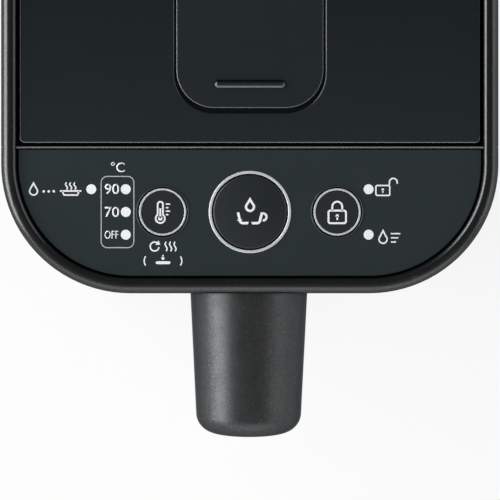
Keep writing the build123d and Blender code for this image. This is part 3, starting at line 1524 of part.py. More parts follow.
# ================================================================ carrying handle
handle_corner = body_corner + handle_gap
arm_inner = body_width / 2 + handle_gap
arm_outer = arm_inner + handle_arm
handle_side = Plane(
    origin=(0, pivot_y, pivot_z),
    x_dir=(1, 0, 0),
    z_dir=(0, sin(handle_droop), cos(handle_droop)),
)

with BuildPart() as carry_handle:
    # a U in its own sloping plane, seen from above, with the pivot axis at y = 0
    with BuildSketch(handle_side.offset(-half_bar)):
        RectangleRounded(2 * arm_outer, 2 * handle_outer, handle_corner + handle_arm)
        RectangleRounded(2 * arm_inner, 2 * handle_inner, handle_corner, mode=Mode.SUBTRACT)
        with Locations((0, -handle_outer / 2)):
            Rectangle(3 * arm_outer, handle_outer, mode=Mode.SUBTRACT)
    extrude(amount=handle_height)
    fillet(carry_handle.edges().filter_by(GeomType.CIRCLE), handle_round)
    for side in (-1, 1):
        arm = sorted((side * arm_inner, side * arm_outer))
        bar_x(pivot_y, pivot_z, eye_radius, arm)
        bar_x(pivot_y, pivot_z, handle_pin_radius + running_gap, arm, Mode.SUBTRACT)
carry_handle.part.label = "carry_handle"
export_step(carry_handle.part, "parts/carry_handle.step")

with BuildPart() as handle_pivots:
    for side in (-1, 1):
        head = arm_outer + pin_head_gap
        bar_x(pivot_y, pivot_z, handle_pin_radius, sorted((side * boss_x, side * head)))
        outside = head + pin_head_height
        bar_x(pivot_y, pivot_z, pin_head_radius, sorted((side * head, side * outside)))
    ends = handle_pivots.edges().group_by(Axis.X)
    fillet(ends[-1] + ends[0], pin_head_height / 2)
handle_pivots.part.label = "handle_pivots"
export_step(handle_pivots.part, "parts/handle_pivots.step")
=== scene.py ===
import json
import math

import bmesh
import bpy
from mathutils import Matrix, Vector
from mathutils.bvhtree import BVHTree


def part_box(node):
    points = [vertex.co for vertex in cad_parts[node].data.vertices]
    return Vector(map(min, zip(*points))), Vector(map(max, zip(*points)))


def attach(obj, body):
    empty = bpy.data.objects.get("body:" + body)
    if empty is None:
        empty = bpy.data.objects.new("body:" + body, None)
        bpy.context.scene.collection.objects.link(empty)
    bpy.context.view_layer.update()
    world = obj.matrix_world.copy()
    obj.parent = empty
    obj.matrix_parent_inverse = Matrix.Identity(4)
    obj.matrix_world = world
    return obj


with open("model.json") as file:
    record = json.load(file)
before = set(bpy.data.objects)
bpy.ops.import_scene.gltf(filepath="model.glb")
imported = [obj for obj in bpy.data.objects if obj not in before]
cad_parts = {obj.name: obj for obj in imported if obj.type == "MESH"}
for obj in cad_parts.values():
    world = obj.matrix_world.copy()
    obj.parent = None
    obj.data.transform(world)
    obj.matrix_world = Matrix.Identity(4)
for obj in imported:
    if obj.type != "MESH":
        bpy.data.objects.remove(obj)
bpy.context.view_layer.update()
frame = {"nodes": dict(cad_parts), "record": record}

# Electric thermo pot seen from straight above its front, in metres.  +Z is up
# and the spout points along -Y.  Everything is measured from the CAD nodes.
MM = 0.001
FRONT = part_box("shoulder_ring")[0].y
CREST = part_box("shoulder_ring")[1].z

# the photograph's frame, square and straight down on the rim
FRAME_PIXELS = 500
PIXEL = 0.3823 * MM
MIDDLE = FRAME_PIXELS / 2
FRONT_ROW = 293.4            # the casing's front edge
FRAME_WIDTH = FRAME_PIXELS * PIXEL
SENSOR_WIDTH = 36.0          # in millimetres
CAMERA_HEIGHT = 3.0          # above the rim
CAMERA_SIDE = -0.037         # sideways from the frame's middle, to the left


def at(column, row):
    """Place on the plan of the pot for a column and a row of the photograph."""
    return (column - MIDDLE) * PIXEL, FRONT + (FRONT_ROW - row) * PIXEL


# ---------------------------------------------------------------- camera, light, floor
scene = bpy.context.scene
scene.view_settings.view_transform = "Standard"


def place(obj, location=(0, 0, 0), rotation=(0, 0, 0)):
    obj.location = location
    obj.rotation_euler = rotation
    scene.collection.objects.link(obj)
    return obj


lens = bpy.data.cameras.new("camera")
lens.sensor_width = SENSOR_WIDTH
lens.lens = SENSOR_WIDTH * CAMERA_HEIGHT / FRAME_WIDTH
lens.clip_start = 0.1
lens.clip_end = 50.0
centre_x, centre_y = at(MIDDLE, MIDDLE)
scene.camera = place(
    bpy.data.objects.new("camera", lens),
    (centre_x + CAMERA_SIDE, centre_y, CREST + CAMERA_HEIGHT),
    (0, math.atan(CAMERA_SIDE / CAMERA_HEIGHT), 0),
)


def softbox(name, direction, size, radiance, distance=1.6):
    """Area light that faces the pot.

    direction is its azimuth from the front and its tilt from straight up, in degrees."""
    azimuth, tilt = (math.radians(angle) for angle in direction)
    level = math.sin(tilt)
    away = Vector((math.sin(azimuth) * level, -math.cos(azimuth) * level, math.cos(tilt)))
    light = bpy.data.lights.new(name, "AREA")
    light.shape = "RECTANGLE"
    light.size, light.size_y = size
    light.energy = radiance * math.pi * size[0] * size[1]
    lamp = place(bpy.data.objects.new(name, light), away * distance + Vector((0, 0, CREST / 2)))
    lamp.rotation_mode = "QUATERNION"
    lamp.rotation_quaternion = away.to_track_quat("Z", "X")
    lamp.visible_camera = False
    return lamp


softbox("light_left", (-98, 64), (1.0, 2.2), 6.3)
softbox("light_right", (95, 64), (1.1, 1.9), 1.3)
softbox("light_front", (0, 62), (0.6, 2.0), 1.0, 0.9)

# soft light from all round, dark overhead and stronger towards the front
SKY_DARK = 0.09
SKY_FRONT = 0.46
world = bpy.data.worlds.new("world")
scene.world = world
world.use_nodes = True
sky = world.node_tree
toward = sky.nodes.new("ShaderNodeSeparateXYZ")
sky.links.new(sky.nodes.new("ShaderNodeTexCoord").outputs["Generated"], toward.inputs[0])
rise = sky.nodes.new("ShaderNodeMapRange")
rise.interpolation_type = "SMOOTHSTEP"
limits = {"From Min": 0.0, "From Max": -1.0, "To Min": SKY_DARK, "To Max": SKY_FRONT}
for socket, value in limits.items():
    rise.inputs[socket].default_value = value
sky.links.new(toward.outputs["Y"], rise.inputs["Value"])
sky.links.new(rise.outputs["Result"], sky.nodes["Background"].inputs["Strength"])
sky.nodes["Background"].inputs["Color"].default_value = (1.0, 1.0, 1.0, 1.0)


# ---------------------------------------------------------------- material kit
# colour of the painted shade at the bottoms of narrow gaps
GAP_SHADE_COLOR = (0.001, 0.001, 0.001)


class Finish:
    """A procedural material: node shorthand around one Principled shader."""

    def __init__(self, name, color, rough, metal=0.0, **sockets):
        self.material = bpy.data.materials.new(name)
        self.material.use_nodes = True
        self.tree = self.material.node_tree
        self.shader = self.tree.nodes["Principled BSDF"]
        self.shader.inputs["Base Color"].default_value = (*color, 1.0)
        self.shader.inputs["Roughness"].default_value = rough
        self.shader.inputs["Metallic"].default_value = metal
        for socket, value in sockets.items():
            self.shader.inputs[socket.replace("_", " ")].default_value = value
        self.color = color
        self.rough = rough
        self.where = self.node("ShaderNodeTexCoord").outputs["Object"]
        self.normal = None

    def node(self, kind, **settings):
        made = self.tree.nodes.new(kind)
        for key, value in settings.items():
            setattr(made, key, value)
        return made

    def link(self, source, target):
        self.tree.links.new(source, target)

    def stretched(self, scale):
        mapping = self.node("ShaderNodeMapping")
        mapping.inputs["Scale"].default_value = scale
        self.link(self.where, mapping.inputs["Vector"])
        return mapping.outputs["Vector"]

    def noise(self, scale, detail=2.0, stretch=None):
        made = self.node("ShaderNodeTexNoise")
        made.inputs["Scale"].default_value = scale
        made.inputs["Detail"].default_value = detail
        self.link(self.stretched(stretch) if stretch else self.where, made.inputs["Vector"])
        return made.outputs["Fac"]

    def cells(self, scale):
        """A different colour in each cell, scale cells to the metre."""
        made = self.node("ShaderNodeTexVoronoi")
        made.inputs["Scale"].default_value = scale
        self.link(self.where, made.inputs["Vector"])
        return made.outputs["Color"]

    def red(self, source):
        """One number between 0 and 1 out of a colour."""
        made = self.node("ShaderNodeSeparateColor")
        self.link(source, made.inputs[0])
        return made.outputs[0]

    def ramp(self, source, low, high, start=0.0, end=1.0):
        """source from low to high, mapped onto start to end."""
        made = self.node("ShaderNodeMapRange")
        limits = {"From Min": low, "From Max": high, "To Min": start, "To Max": end}
        for socket, value in limits.items():
            made.inputs[socket].default_value = value
        self.link(source, made.inputs["Value"])
        return made.outputs["Result"]

    def math(self, operation, first, second):
        made = self.node("ShaderNodeMath", operation=operation)
        for socket, value in zip(made.inputs, (first, second)):
            if isinstance(value, (int, float)):
                socket.default_value = value
            else:
                self.link(value, socket)
        return made.outputs[0]

    def product(self, first, *others):
        for factor in others:
            first = self.math("MULTIPLY", first, factor)
        return first

    def tint(self, factor, color, base=None):
        """Base colour, or base if that is given, moves towards color by factor."""
        made = self.node("ShaderNodeMix", data_type="RGBA")
        self.link(factor, made.inputs[0])
        if base is None:
            made.inputs[6].default_value = (*self.color, 1.0)
        else:
            self.link(base, made.inputs[6])
        made.inputs[7].default_value = (*color, 1.0)
        self.link(made.outputs[2], self.shader.inputs["Base Color"])
        return made.outputs[2]

    def roughen(self, source, amount, low=0.3, high=0.7):
        """Roughness wanders by amount each way."""
        spread = self.ramp(source, low, high, self.rough - amount, self.rough + amount)
        self.link(spread, self.shader.inputs["Roughness"])

    def bump(self, height, depth, strength=1.0):
        """Raises the surface by up to depth metres."""
        made = self.node("ShaderNodeBump")
        made.inputs["Strength"].default_value = strength
        made.inputs["Distance"].default_value = depth
        self.link(height, made.inputs["Height"])
        if self.normal is not None:
            self.link(self.normal, made.inputs["Normal"])
        self.normal = made.outputs["Normal"]
        self.link(self.normal, self.shader.inputs["Normal"])
        return self

    def along(self, axis, source=None):
        """Object coordinate along an axis, or that part of another vector."""
        made = self.node("ShaderNodeSeparateXYZ")
        self.link(source or self.where, made.inputs[0])
        return made.outputs[axis]

    def facing(self, axis):
        """How far the surface faces along an axis, from -1 to 1."""
        return self.along(axis, self.node("ShaderNodeTexCoord").outputs["Normal"])

    def rounded(self):
        """1 on edges rounded between a level face and an upright one, else 0."""
        upward = self.facing("Z")
        return self.product(self.ramp(upward, 0.985, 0.80), self.ramp(upward, 0.08, 0.30))

    def toward(self, factor, color):
        """Base colour, as it is so far, moves towards color by factor."""
        return self.tint(factor, color, self.shader.inputs["Base Color"].links[0].from_socket)

    def paint_gap_shade(self, reach, amount):
        """Painted shade: darkens the bottoms of gaps that are narrower than reach, in metres, by
        ambient occlusion.
        """
        gap_occlusion = self.node("ShaderNodeAmbientOcclusion", samples=12)
        gap_occlusion.inputs["Distance"].default_value = reach
        self.toward(self.ramp(gap_occlusion.outputs["AO"], 0.80, 0.25, 0.0, amount), GAP_SHADE_COLOR)

    def scatter_normal(self, cells, amount):
        """Turns the normal a little, differently in each cell, as paint flakes do."""
        centred = self.node("ShaderNodeVectorMath", operation="SUBTRACT")
        self.link(cells, centred.inputs[0])
        centred.inputs[1].default_value = (0.5, 0.5, 0.5)
        scaled = self.node("ShaderNodeVectorMath", operation="SCALE")
        self.link(centred.outputs[0], scaled.inputs[0])
        scaled.inputs["Scale"].default_value = amount
        added = self.node("ShaderNodeVectorMath", operation="ADD")
        self.link(self.node("ShaderNodeNewGeometry").outputs["Normal"], added.inputs[0])
        self.link(scaled.outputs[0], added.inputs[1])
        unit = self.node("ShaderNodeVectorMath", operation="NORMALIZE")
        self.link(added.outputs[0], unit.inputs[0])
        self.normal = unit.outputs[0]
        self.link(self.normal, self.shader.inputs["Normal"])


def grained(name, color, rough, grain, depth, metal=0.0, painted_light=None):
    """Moulded plastic or plain metal: fine grain, and broad unevenness in its gloss.

    grain is to the metre, depth is in metres, and the optional function paints highlights and shade
    before the painted shade in the gaps."""
    made = Finish(name, color, rough, metal)
    fine = made.noise(grain, 3.0)
    broad = made.noise(grain / 60)
    made.roughen(broad, rough * 0.04)
    lighter = [min(1.0, part * 1.25 + 0.002) for part in color]
    made.tint(made.ramp(fine, 0.45, 0.75), lighter)
    # painted highlights and shade, when a function for them is given
    if painted_light:
        painted_light(made)
    # painted shade at the bottoms of narrow gaps, from ambient occlusion
    made.paint_gap_shade(4.5 * MM, 0.92)
    made.bump(fine, depth)
    return made


def brushed(name, color, rough, stretch, depth=2e-6):
    """Metal with brush lines along the axis whose stretch is smallest."""
    made = Finish(name, color, rough, 1.0)
    lines = made.noise(1.0, 4.0, stretch)
    made.roughen(lines, rough * 0.35)
    made.tint(made.ramp(lines, 0.35, 0.8), [part * 0.78 for part in color])
    made.bump(lines, depth)
    return made


# ---------------------------------------------------------------- finishes
finishes = {}

PAINT_FLAKES = 5200.0        # to the metre

# painted highlight: a light strip along the lip between the lid and the control panel
LIP_PLACE = 0.9 * MM         # behind the control panel's rear edge
LIP_HALF = 0.45 * MM
LIP_DEPTH = 0.8 * MM         # below the panel's face, where the lip's rounding starts
LIP_FADE = 0.3 * MM
LIP_TOP = 0.45 * MM          # below the panel's face, so that the painted highlight stays off the rim
LIP_TOP_FADE = 0.07 * MM

# painted highlights and shade on the lever and on the lid's edges: each pair is where a ramp starts
# and ends
LEVER_DROP = 1.5 * MM                  # rim's crest down to the lever's face
RIB_SHADE_HEIGHT = (0.03 * MM, 0.15 * MM)   # above the lever's face
RIB_SHADE_REACH = (14 * MM, 13 * MM)        # behind the lever's front edge
LID_SHADE_REACH = 70 * MM                     # behind the lid's front edge, where the painted shade is darkest
LID_EDGE_HIGHLIGHT = (3.0 * MM, 1.5 * MM)        # behind the lid's front edge
RECESS_BESIDE = (2.5 * MM, 2.0 * MM)   # out from the lever's side
RECESS_BEHIND = (14 * MM, 26 * MM)     # behind the lever's front edge


def gunmetal_paint(name, rough, scatter, glint, painted_light=None):
    """Dark metallic paint: fine flakes that lie nearly flat, a few of them brighter."""
    edge = (0.35, 0.37, 0.38, 1.0)
    made = Finish(name, (0.0625, 0.0645, 0.0660), rough, 0.92, Specular_Tint=edge)
    flakes = made.cells(PAINT_FLAKES)
    bright = made.tint(made.ramp(made.red(flakes), 0.70, 1.0, 0.0, glint), (0.345, 0.352, 0.360))
    cloud = made.noise(35.0, 3.0)
    made.tint(made.ramp(cloud, 0.35, 0.75, 0.0, 0.3), (0.053, 0.055, 0.0565), bright)
    # painted highlights and shade, when a function for them is given
    if painted_light:
        painted_light(made)
    # painted shade at the bottoms of narrow gaps, from ambient occlusion
    made.paint_gap_shade(2.5 * MM, 0.9)
    made.roughen(made.noise(160.0), rough * 0.08)
    made.scatter_normal(flakes, scatter)
    made.bump(made.noise(900.0), 1.0e-6)
    return made


def lip_painted_highlight(made):
    """Painted highlight: a light grey line along the thin lip between the lid and the control
    panel.
    """
    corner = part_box("control_panel")[1]
    off = made.math("ABSOLUTE", made.math("SUBTRACT", made.along("Y"), corner.y + LIP_PLACE), 0.0)
    near = made.ramp(off, LIP_HALF, LIP_HALF * 0.6)
    start, end = corner.z - LIP_DEPTH, corner.z - LIP_TOP
    above = made.ramp(made.along("Z"), start - LIP_FADE, start)
    below = made.ramp(made.along("Z"), end + LIP_TOP_FADE, end)
    # painted highlight along the lip
    made.toward(made.product(near, above, below), (0.66, 0.67, 0.67))


def lever_painted_light(made):
    """Painted highlights on the lever's rounded edges that do not face the rear, and painted shade
    on the rear-facing side of its grip line.
    """
    rearward = made.facing("Y")
    painted_edge_highlight = made.product(made.rounded(), made.ramp(rearward, 0.20, 0.0))
    # painted highlight on the lever's rounded edges, except those facing the rear
    made.toward(painted_edge_highlight, (0.150, 0.157, 0.159))
    level = CREST - LEVER_DROP
    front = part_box("lid_lever")[0].y
    raised = made.ramp(made.along("Z"), *(level + height for height in RIB_SHADE_HEIGHT))
    near = made.ramp(made.along("Y"), *(front + reach for reach in RIB_SHADE_REACH))
    painted_rib_shade = made.product(made.ramp(rearward, 0.10, 0.40), raised, near)
    # painted shade on the rear-facing side of the grip line, near the lever's front
    made.toward(painted_rib_shade, (0.0005, 0.0005, 0.0005))


def lid_painted_light(made):
    """Painted shade, darker to the rear, and painted highlights along the rounded front edge and on
    the rounded edges beside the lever.
    """
    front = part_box("lid_cover")[0].y
    painted_rear_shade = made.ramp(made.along("Y"), front, front + LID_SHADE_REACH, 0.0, 0.62)
    # painted shade, darker towards the rear
    made.toward(painted_rear_shade, (0.0022, 0.0048, 0.0055))
    edge = made.ramp(made.along("Y"), *(front + reach for reach in LID_EDGE_HIGHLIGHT))
    # painted highlight on the rounded front edge
    made.toward(made.product(made.rounded(), edge), (0.20, 0.21, 0.21))
    low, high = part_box("lid_lever")
    across = made.math("ABSOLUTE", made.along("X"), 0.0)
    beside = made.ramp(across, *(high.x + reach for reach in RECESS_BESIDE))
    behind = made.ramp(made.along("Y"), *(low.y + reach for reach in RECESS_BEHIND))
    # painted highlight on the rounded edges of the recess beside the lever
    made.toward(made.product(made.rounded(), beside, behind), (0.060, 0.066, 0.068))


finishes["body_paint"] = gunmetal_paint("body_paint", 0.40, 0.10, 0.25)
# the rim's paint carries the painted highlight along the lip
rim_paint = gunmetal_paint("rim_paint", 0.24, 0.05, 0.15, lip_painted_highlight)
# the lever's plastic carries painted edge highlights and painted shade on its grip line
lever_plastic = grained(
    "lever_plastic", (0.0128, 0.0188, 0.0203), 0.27, 5200.0, 0.6e-6, painted_light=lever_painted_light
)
finishes["dark_plastic"] = grained("dark_plastic", (0.024, 0.026, 0.028), 0.52, 2600.0, 9e-6)
finishes["lid_plastic"] = grained(
    # the lid's plastic carries painted shade and painted edge highlights
    "lid_plastic", (0.0133, 0.0188, 0.0203), 0.27, 5200.0, 0.6e-6, painted_light=lid_painted_light
)
finishes["panel_plastic"] = grained(
    "panel_plastic", (0.0196, 0.0281, 0.0300), 0.34, 5200.0, 1.6e-6
)
finishes["button_plastic"] = grained(
    "button_plastic", (0.0163, 0.0212, 0.0230), 0.34, 5200.0, 1.6e-6
)
finishes["ring_chrome"] = grained("ring_chrome", (0.72, 0.74, 0.74), 0.38, 1800.0, 6e-7, 0.35)
finishes["inner_plastic"] = grained("inner_plastic", (0.30, 0.31, 0.32), 0.46, 2400.0, 5e-6)
finishes["black_rubber"] = grained("black_rubber", (0.018, 0.018, 0.018), 0.80, 2200.0, 1.2e-5)
finishes["seal_rubber"] = grained("seal_rubber", (0.42, 0.42, 0.41), 0.55, 1800.0, 6e-6)
finishes["component_black"] = grained("component_black", (0.02, 0.02, 0.021), 0.50, 2600.0, 6e-6)
finishes["motor_can"] = grained("motor_can", (0.46, 0.47, 0.48), 0.34, 1500.0, 3e-6, 1.0)
finishes["pivot_metal"] = grained("pivot_metal", (0.16, 0.165, 0.17), 0.30, 1800.0, 2e-6, 1.0)
finishes["contact_brass"] = grained("contact_brass", (0.70, 0.53, 0.26), 0.28, 1500.0, 2e-6, 1.0)
finishes["vessel_steel"] = brushed(
    "vessel_steel", (0.52, 0.52, 0.51), 0.26, (60.0, 60.0, 6000.0)
)
finishes["heater_aluminium"] = brushed(
    "heater_aluminium", (0.60, 0.60, 0.61), 0.38, (40.0, 4000.0, 40.0)
)
finishes["machined_steel"] = brushed(
    "machined_steel", (0.55, 0.56, 0.57), 0.24, (5000.0, 50.0, 5000.0)
)
finishes["screw_steel"] = brushed(
    "screw_steel", (0.45, 0.46, 0.47), 0.30, (4000.0, 4000.0, 60.0)
)


def lamp_lens():
    made = Finish("lamp_lens", (0.97, 1.0, 1.0), 0.42)
    specks = made.red(made.cells(2600.0))
    made.tint(made.ramp(specks, 0.25, 0.60, 0.20, 0.0), (0.60, 0.64, 0.66))
    made.bump(made.noise(3000.0), 8e-6)
    return made


def clear(name, color, rough, ior):
    made = Finish(name, color, rough, 0.0, Transmission_Weight=1.0, IOR=ior)
    made.bump(made.noise(120.0), 4e-6)
    made.roughen(made.noise(400.0), rough * 0.5)
    return made


def felt():
    made = Finish("insulation_felt", (0.46, 0.46, 0.44), 0.95, 0.0, Sheen_Weight=0.3)
    fibres = made.noise(900.0, 6.0, (1.0, 1.0, 3.0))
    made.tint(made.ramp(fibres, 0.35, 0.7), (0.30, 0.30, 0.29))
    made.bump(fibres, 3e-4)
    return made


def circuit_board():
    made = Finish("board_green", (0.012, 0.085, 0.030), 0.36)
    tracks = made.node("ShaderNodeTexBrick")
    tracks.inputs["Scale"].default_value = 260.0
    made.link(made.where, tracks.inputs["Vector"])
    made.tint(made.ramp(tracks.outputs["Fac"], 0.2, 0.8), (0.03, 0.17, 0.065))
    made.bump(tracks.outputs["Fac"], 2e-5)
    return made


finishes["lamp_lens"] = lamp_lens()
finishes["clear_plastic"] = clear("clear_plastic", (0.55, 0.58, 0.60), 0.08, 1.49)
finishes["clear_glass"] = clear("clear_glass", (0.93, 0.96, 0.95), 0.02, 1.50)
finishes["insulation_felt"] = felt()
finishes["board_green"] = circuit_board()

for part in frame["record"]["subparts"]:
    node = frame["nodes"][part["node"]]
    node.data.materials.clear()
    node.data.materials.append(finishes[part["material_slot"]].material)
frame["nodes"]["shoulder_ring"].data.materials[0] = rim_paint.material
frame["nodes"]["lid_lever"].data.materials[0] = lever_plastic.material

# ---------------------------------------------------------------- floor
FLOOR_REACH = 30.0
FLOOR_LEVEL = -0.2 * MM      # just clear of the feet
FLOOR_GLOW = 0.85            # share of plain white where it is seen, in gloss and glass too
floor_mesh = bpy.data.meshes.new("floor")
sides = ((-1, -1), (1, -1), (1, 1), (-1, 1))
corners = [(x * FLOOR_REACH, y * FLOOR_REACH, FLOOR_LEVEL) for x, y in sides]
floor_mesh.from_pydata(corners, [], [(0, 1, 2, 3)])
floor = place(bpy.data.objects.new("floor", floor_mesh))
floor_paint = Finish("floor", (0.86, 0.86, 0.855), 0.65)
floor_paint.tint(floor_paint.noise(3.0), (0.84, 0.84, 0.84))
rays = floor_paint.node("ShaderNodeLightPath")
seen = floor_paint.math("MAXIMUM", rays.outputs["Is Camera Ray"], rays.outputs["Is Glossy Ray"])
seen = floor_paint.math("MAXIMUM", seen, rays.outputs["Is Transmission Ray"])
glow = floor_paint.node("ShaderNodeEmission")
blend = floor_paint.node("ShaderNodeMixShader")
floor_paint.link(floor_paint.product(seen, FLOOR_GLOW), blend.inputs[0])
floor_paint.link(floor_paint.shader.outputs[0], blend.inputs[1])
floor_paint.link(glow.outputs[0], blend.inputs[2])
floor_paint.link(blend.outputs[0], floor_paint.tree.nodes["Material Output"].inputs["Surface"])
floor.data.materials.append(floor_paint.material)

# ---------------------------------------------------------------- beads around the small buttons
BEAD_GAP = 0.5 * MM          # between a button and its bead
BEAD_HALF = 0.28 * MM
BEAD_PLACES = 96             # around the button
BEAD_SIDES = 10              # around the bead's own section


def bead(name, ring):
    """A round bead half sunk in the panel, around the hole of a small button."""
    low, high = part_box(ring)
    centre = (low + high) / 2
    radius = (high.x - low.x) / 2 + BEAD_GAP + BEAD_HALF
    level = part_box("control_panel")[1].z
    shape = bmesh.new()
    loops = []
    for i in range(BEAD_PLACES):
        turn = 2 * math.pi * i / BEAD_PLACES
        loop = []
        for j in range(BEAD_SIDES):
            angle = 2 * math.pi * j / BEAD_SIDES
            reach = radius + BEAD_HALF * math.cos(angle)
            x, y = centre.x + reach * math.cos(turn), centre.y + reach * math.sin(turn)
            loop.append(shape.verts.new((x, y, level + BEAD_HALF * math.sin(angle))))
        loops.append(loop)
    for i in range(BEAD_PLACES):
        here, after = loops[i], loops[(i + 1) % BEAD_PLACES]
        for j in range(BEAD_SIDES):
            k = (j + 1) % BEAD_SIDES
            shape.faces.new((here[j], here[k], after[k], after[j]))
    bmesh.ops.recalc_face_normals(shape, faces=shape.faces)
    for face in shape.faces:
        face.smooth = True
    mesh = bpy.data.meshes.new(name)
    shape.to_mesh(mesh)
    shape.free()
    mesh.materials.append(finishes["panel_plastic"].material)
    piece = place(bpy.data.objects.new(name, mesh))
    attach(piece, "pot")


bead("keep_warm_bead", "keep_warm_ring")
bead("unlock_bead", "unlock_ring")

# ---------------------------------------------------------------- printing
# Marks are drawn in millimetres from their own middle, then laid on the part they are printed on.
INK_DEPTH = 0.04 * MM
LETTER_GROWTH = 0.004        # thickens the letters' strokes, as a share of the type size
NUMBER_SIZE = (3.9, 5.5)     # height and width
OFF_SIZE = (3.1, 5.3)
ink_white = grained("ink_white", (0.93, 0.95, 0.95), 0.5, 3000.0, 1e-6)
ink_grey = grained("ink_grey", (0.46, 0.48, 0.49), 0.5, 3000.0, 1e-6)


def arc(cx, cy, radius, start, end, steps=24):
    """Points along an arc, with its angles in degrees."""
    angles = [math.radians(start + (end - start) * i / steps) for i in range(steps + 1)]
    return [(cx + radius * math.cos(a), cy + radius * math.sin(a)) for a in angles]


def rounded_box(width, height, radius, cx=0.0, cy=0.0):
    x, y = width / 2 - radius, height / 2 - radius
    points = []
    for turn, (sx, sy) in enumerate(((1, 1), (-1, 1), (-1, -1), (1, -1))):
        points += arc(cx + sx * x, cy + sy * y, radius, 90 * turn, 90 * turn + 90, 6)
    return points


def drop_outline(width, height, cx=0.0, cy=0.0):
    """A water drop: round below and pointed above."""
    radius = width / 2
    low = cy - height / 2 + radius
    tip = cy + height / 2
    right = arc(cx, low, radius, 20, -90, 12)
    left = arc(cx, low, radius, -90, -200, 12)
    waist, shoulder = radius * 0.52, low + (tip - low) * 0.52
    neck = [(cx - waist, shoulder), (cx, tip), (cx + waist, shoulder)]
    return right + left[1:] + neck


def ribbon(ink, points, width, closed=False):
    """Adds a line of that width through the points to a bmesh."""
    count = len(points)
    rows = []
    for i, point in enumerate(points):
        here = Vector(point)
        before = Vector(points[i - 1]) if i or closed else None
        after = Vector(points[(i + 1) % count]) if i < count - 1 or closed else None
        first = (here - before).normalized() if before is not None else None
        second = (after - here).normalized() if after is not None else None
        first = first or second
        second = second or first
        along = (first + second).normalized()
        across = Vector((-along.y, along.x))
        miter = max(0.4, abs(across.dot(Vector((-first.y, first.x)))))
        half = width / 2 / miter
        rows.append([ink.verts.new((*(here + across * side * half), 0.0)) for side in (-1, 1)])
    pairs = range(count if closed else count - 1)
    for i in pairs:
        a, b = rows[i], rows[(i + 1) % count]
        ink.faces.new((a[0], b[0], b[1], a[1]))


def filled(ink, points):
    """Adds a filled outline to a bmesh."""
    ink.faces.new([ink.verts.new((*point, 0.0)) for point in points])


def lettering(ink, words, height, width=None):
    """Adds letters of that height, and of that width if it is given, to a bmesh."""
    curve = bpy.data.curves.new("letters", "FONT")
    curve.body = words
    curve.resolution_u = 6
    curve.offset = LETTER_GROWTH
    source = place(bpy.data.objects.new("letters", curve))
    graph = bpy.context.evaluated_depsgraph_get()
    shape = bpy.data.meshes.new_from_object(source.evaluated_get(graph))
    bpy.data.objects.remove(source)
    bpy.data.curves.remove(curve)
    low = [min(v.co[k] for v in shape.vertices) for k in (0, 1)]
    high = [max(v.co[k] for v in shape.vertices) for k in (0, 1)]
    tall = height / (high[1] - low[1])
    wide = width / (high[0] - low[0]) if width else tall
    for v in shape.vertices:
        v.co.x = (v.co.x - (low[0] + high[0]) / 2) * wide
        v.co.y = (v.co.y - (low[1] + high[1]) / 2) * tall
    ink.from_mesh(shape)
    bpy.data.meshes.remove(shape)


def printed(name, body, middle, node, draw, ink_finish=ink_white):
    """A printed mark: what draw adds to a bmesh is laid on the node's upper surface."""
    ink = bmesh.new()
    draw(ink)
    bmesh.ops.recalc_face_normals(ink, faces=ink.faces)
    bmesh.ops.reverse_faces(ink, faces=[face for face in ink.faces if face.normal.z < 0])
    grown = bmesh.ops.extrude_face_region(ink, geom=list(ink.faces))["geom"]
    raised = [item for item in grown if isinstance(item, bmesh.types.BMVert)]
    bmesh.ops.translate(ink, verts=raised, vec=(0, 0, INK_DEPTH / MM))
    bmesh.ops.recalc_face_normals(ink, faces=ink.faces)
    shape = bpy.data.meshes.new(name)
    ink.to_mesh(shape)
    ink.free()
    surface = BVHTree.FromObject(frame["nodes"][node], bpy.context.evaluated_depsgraph_get())
    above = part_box(node)[1].z + MM
    for v in shape.vertices:
        x, y = middle[0] + v.co.x * MM, middle[1] + v.co.y * MM
        below = surface.ray_cast(Vector((x, y, above)), Vector((0, 0, -1)))[0]
        v.co = Vector((x, y, below.z + v.co.z * MM))
    piece = place(bpy.data.objects.new(name, shape))
    shape.materials.append(ink_finish.material)
    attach(piece, body)


def middle_of(node):
    low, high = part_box(node)
    return (low.x + high.x) / 2, (low.y + high.y) / 2


def padlock(ink, size, opened, line):
    """A padlock of that overall height.  An open one has its shackle turned out to the right."""
    width, height = size * 0.78, size * 0.56
    low = -size / 2
    ribbon(ink, rounded_box(width, height, size * 0.09, 0, low + height / 2), line, True)
    filled(ink, arc(0, low + height * 0.58, size * 0.075, 0, 345, 16))
    ribbon(ink, [(0, low + height * 0.55), (0, low + height * 0.26)], line * 0.9)
    reach = size * 0.22
    top = low + height
    leg = size - height - reach - line / 2
    middle = width / 2 + size * 0.20 if opened else 0.0
    shackle = [(middle - reach, top)] + arc(middle, top + leg, reach, 180, 0, 16)
    shackle.append((middle + reach, top + leg * 0.55 if opened else top))
    ribbon(ink, shackle, line)


def closed_padlock(ink):
    padlock(ink, 8.6, False, 0.72)


def open_padlock(ink):
    padlock(ink, 6.8, True, 0.56)


def thermometer(ink):
    middle, low, high = -0.9, -2.5, 2.9
    stem, bulb = 1.0, 1.75
    start = math.degrees(math.asin(stem / bulb))
    outline = arc(middle, low, bulb, 90 - start, -270 + start, 24)
    outline += arc(middle, high, stem, 180, 0, 12)
    ribbon(ink, outline, 0.62, True)
    filled(ink, arc(middle, low, 0.85, 0, 345, 20))
    ribbon(ink, [(middle, -2.4), (middle, 1.4)], 0.7)
    for tick in range(4):
        level = 3.0 - 1.35 * tick
        ribbon(ink, [(1.2, level), (2.2 if tick % 2 else 2.9, level)], 0.52)


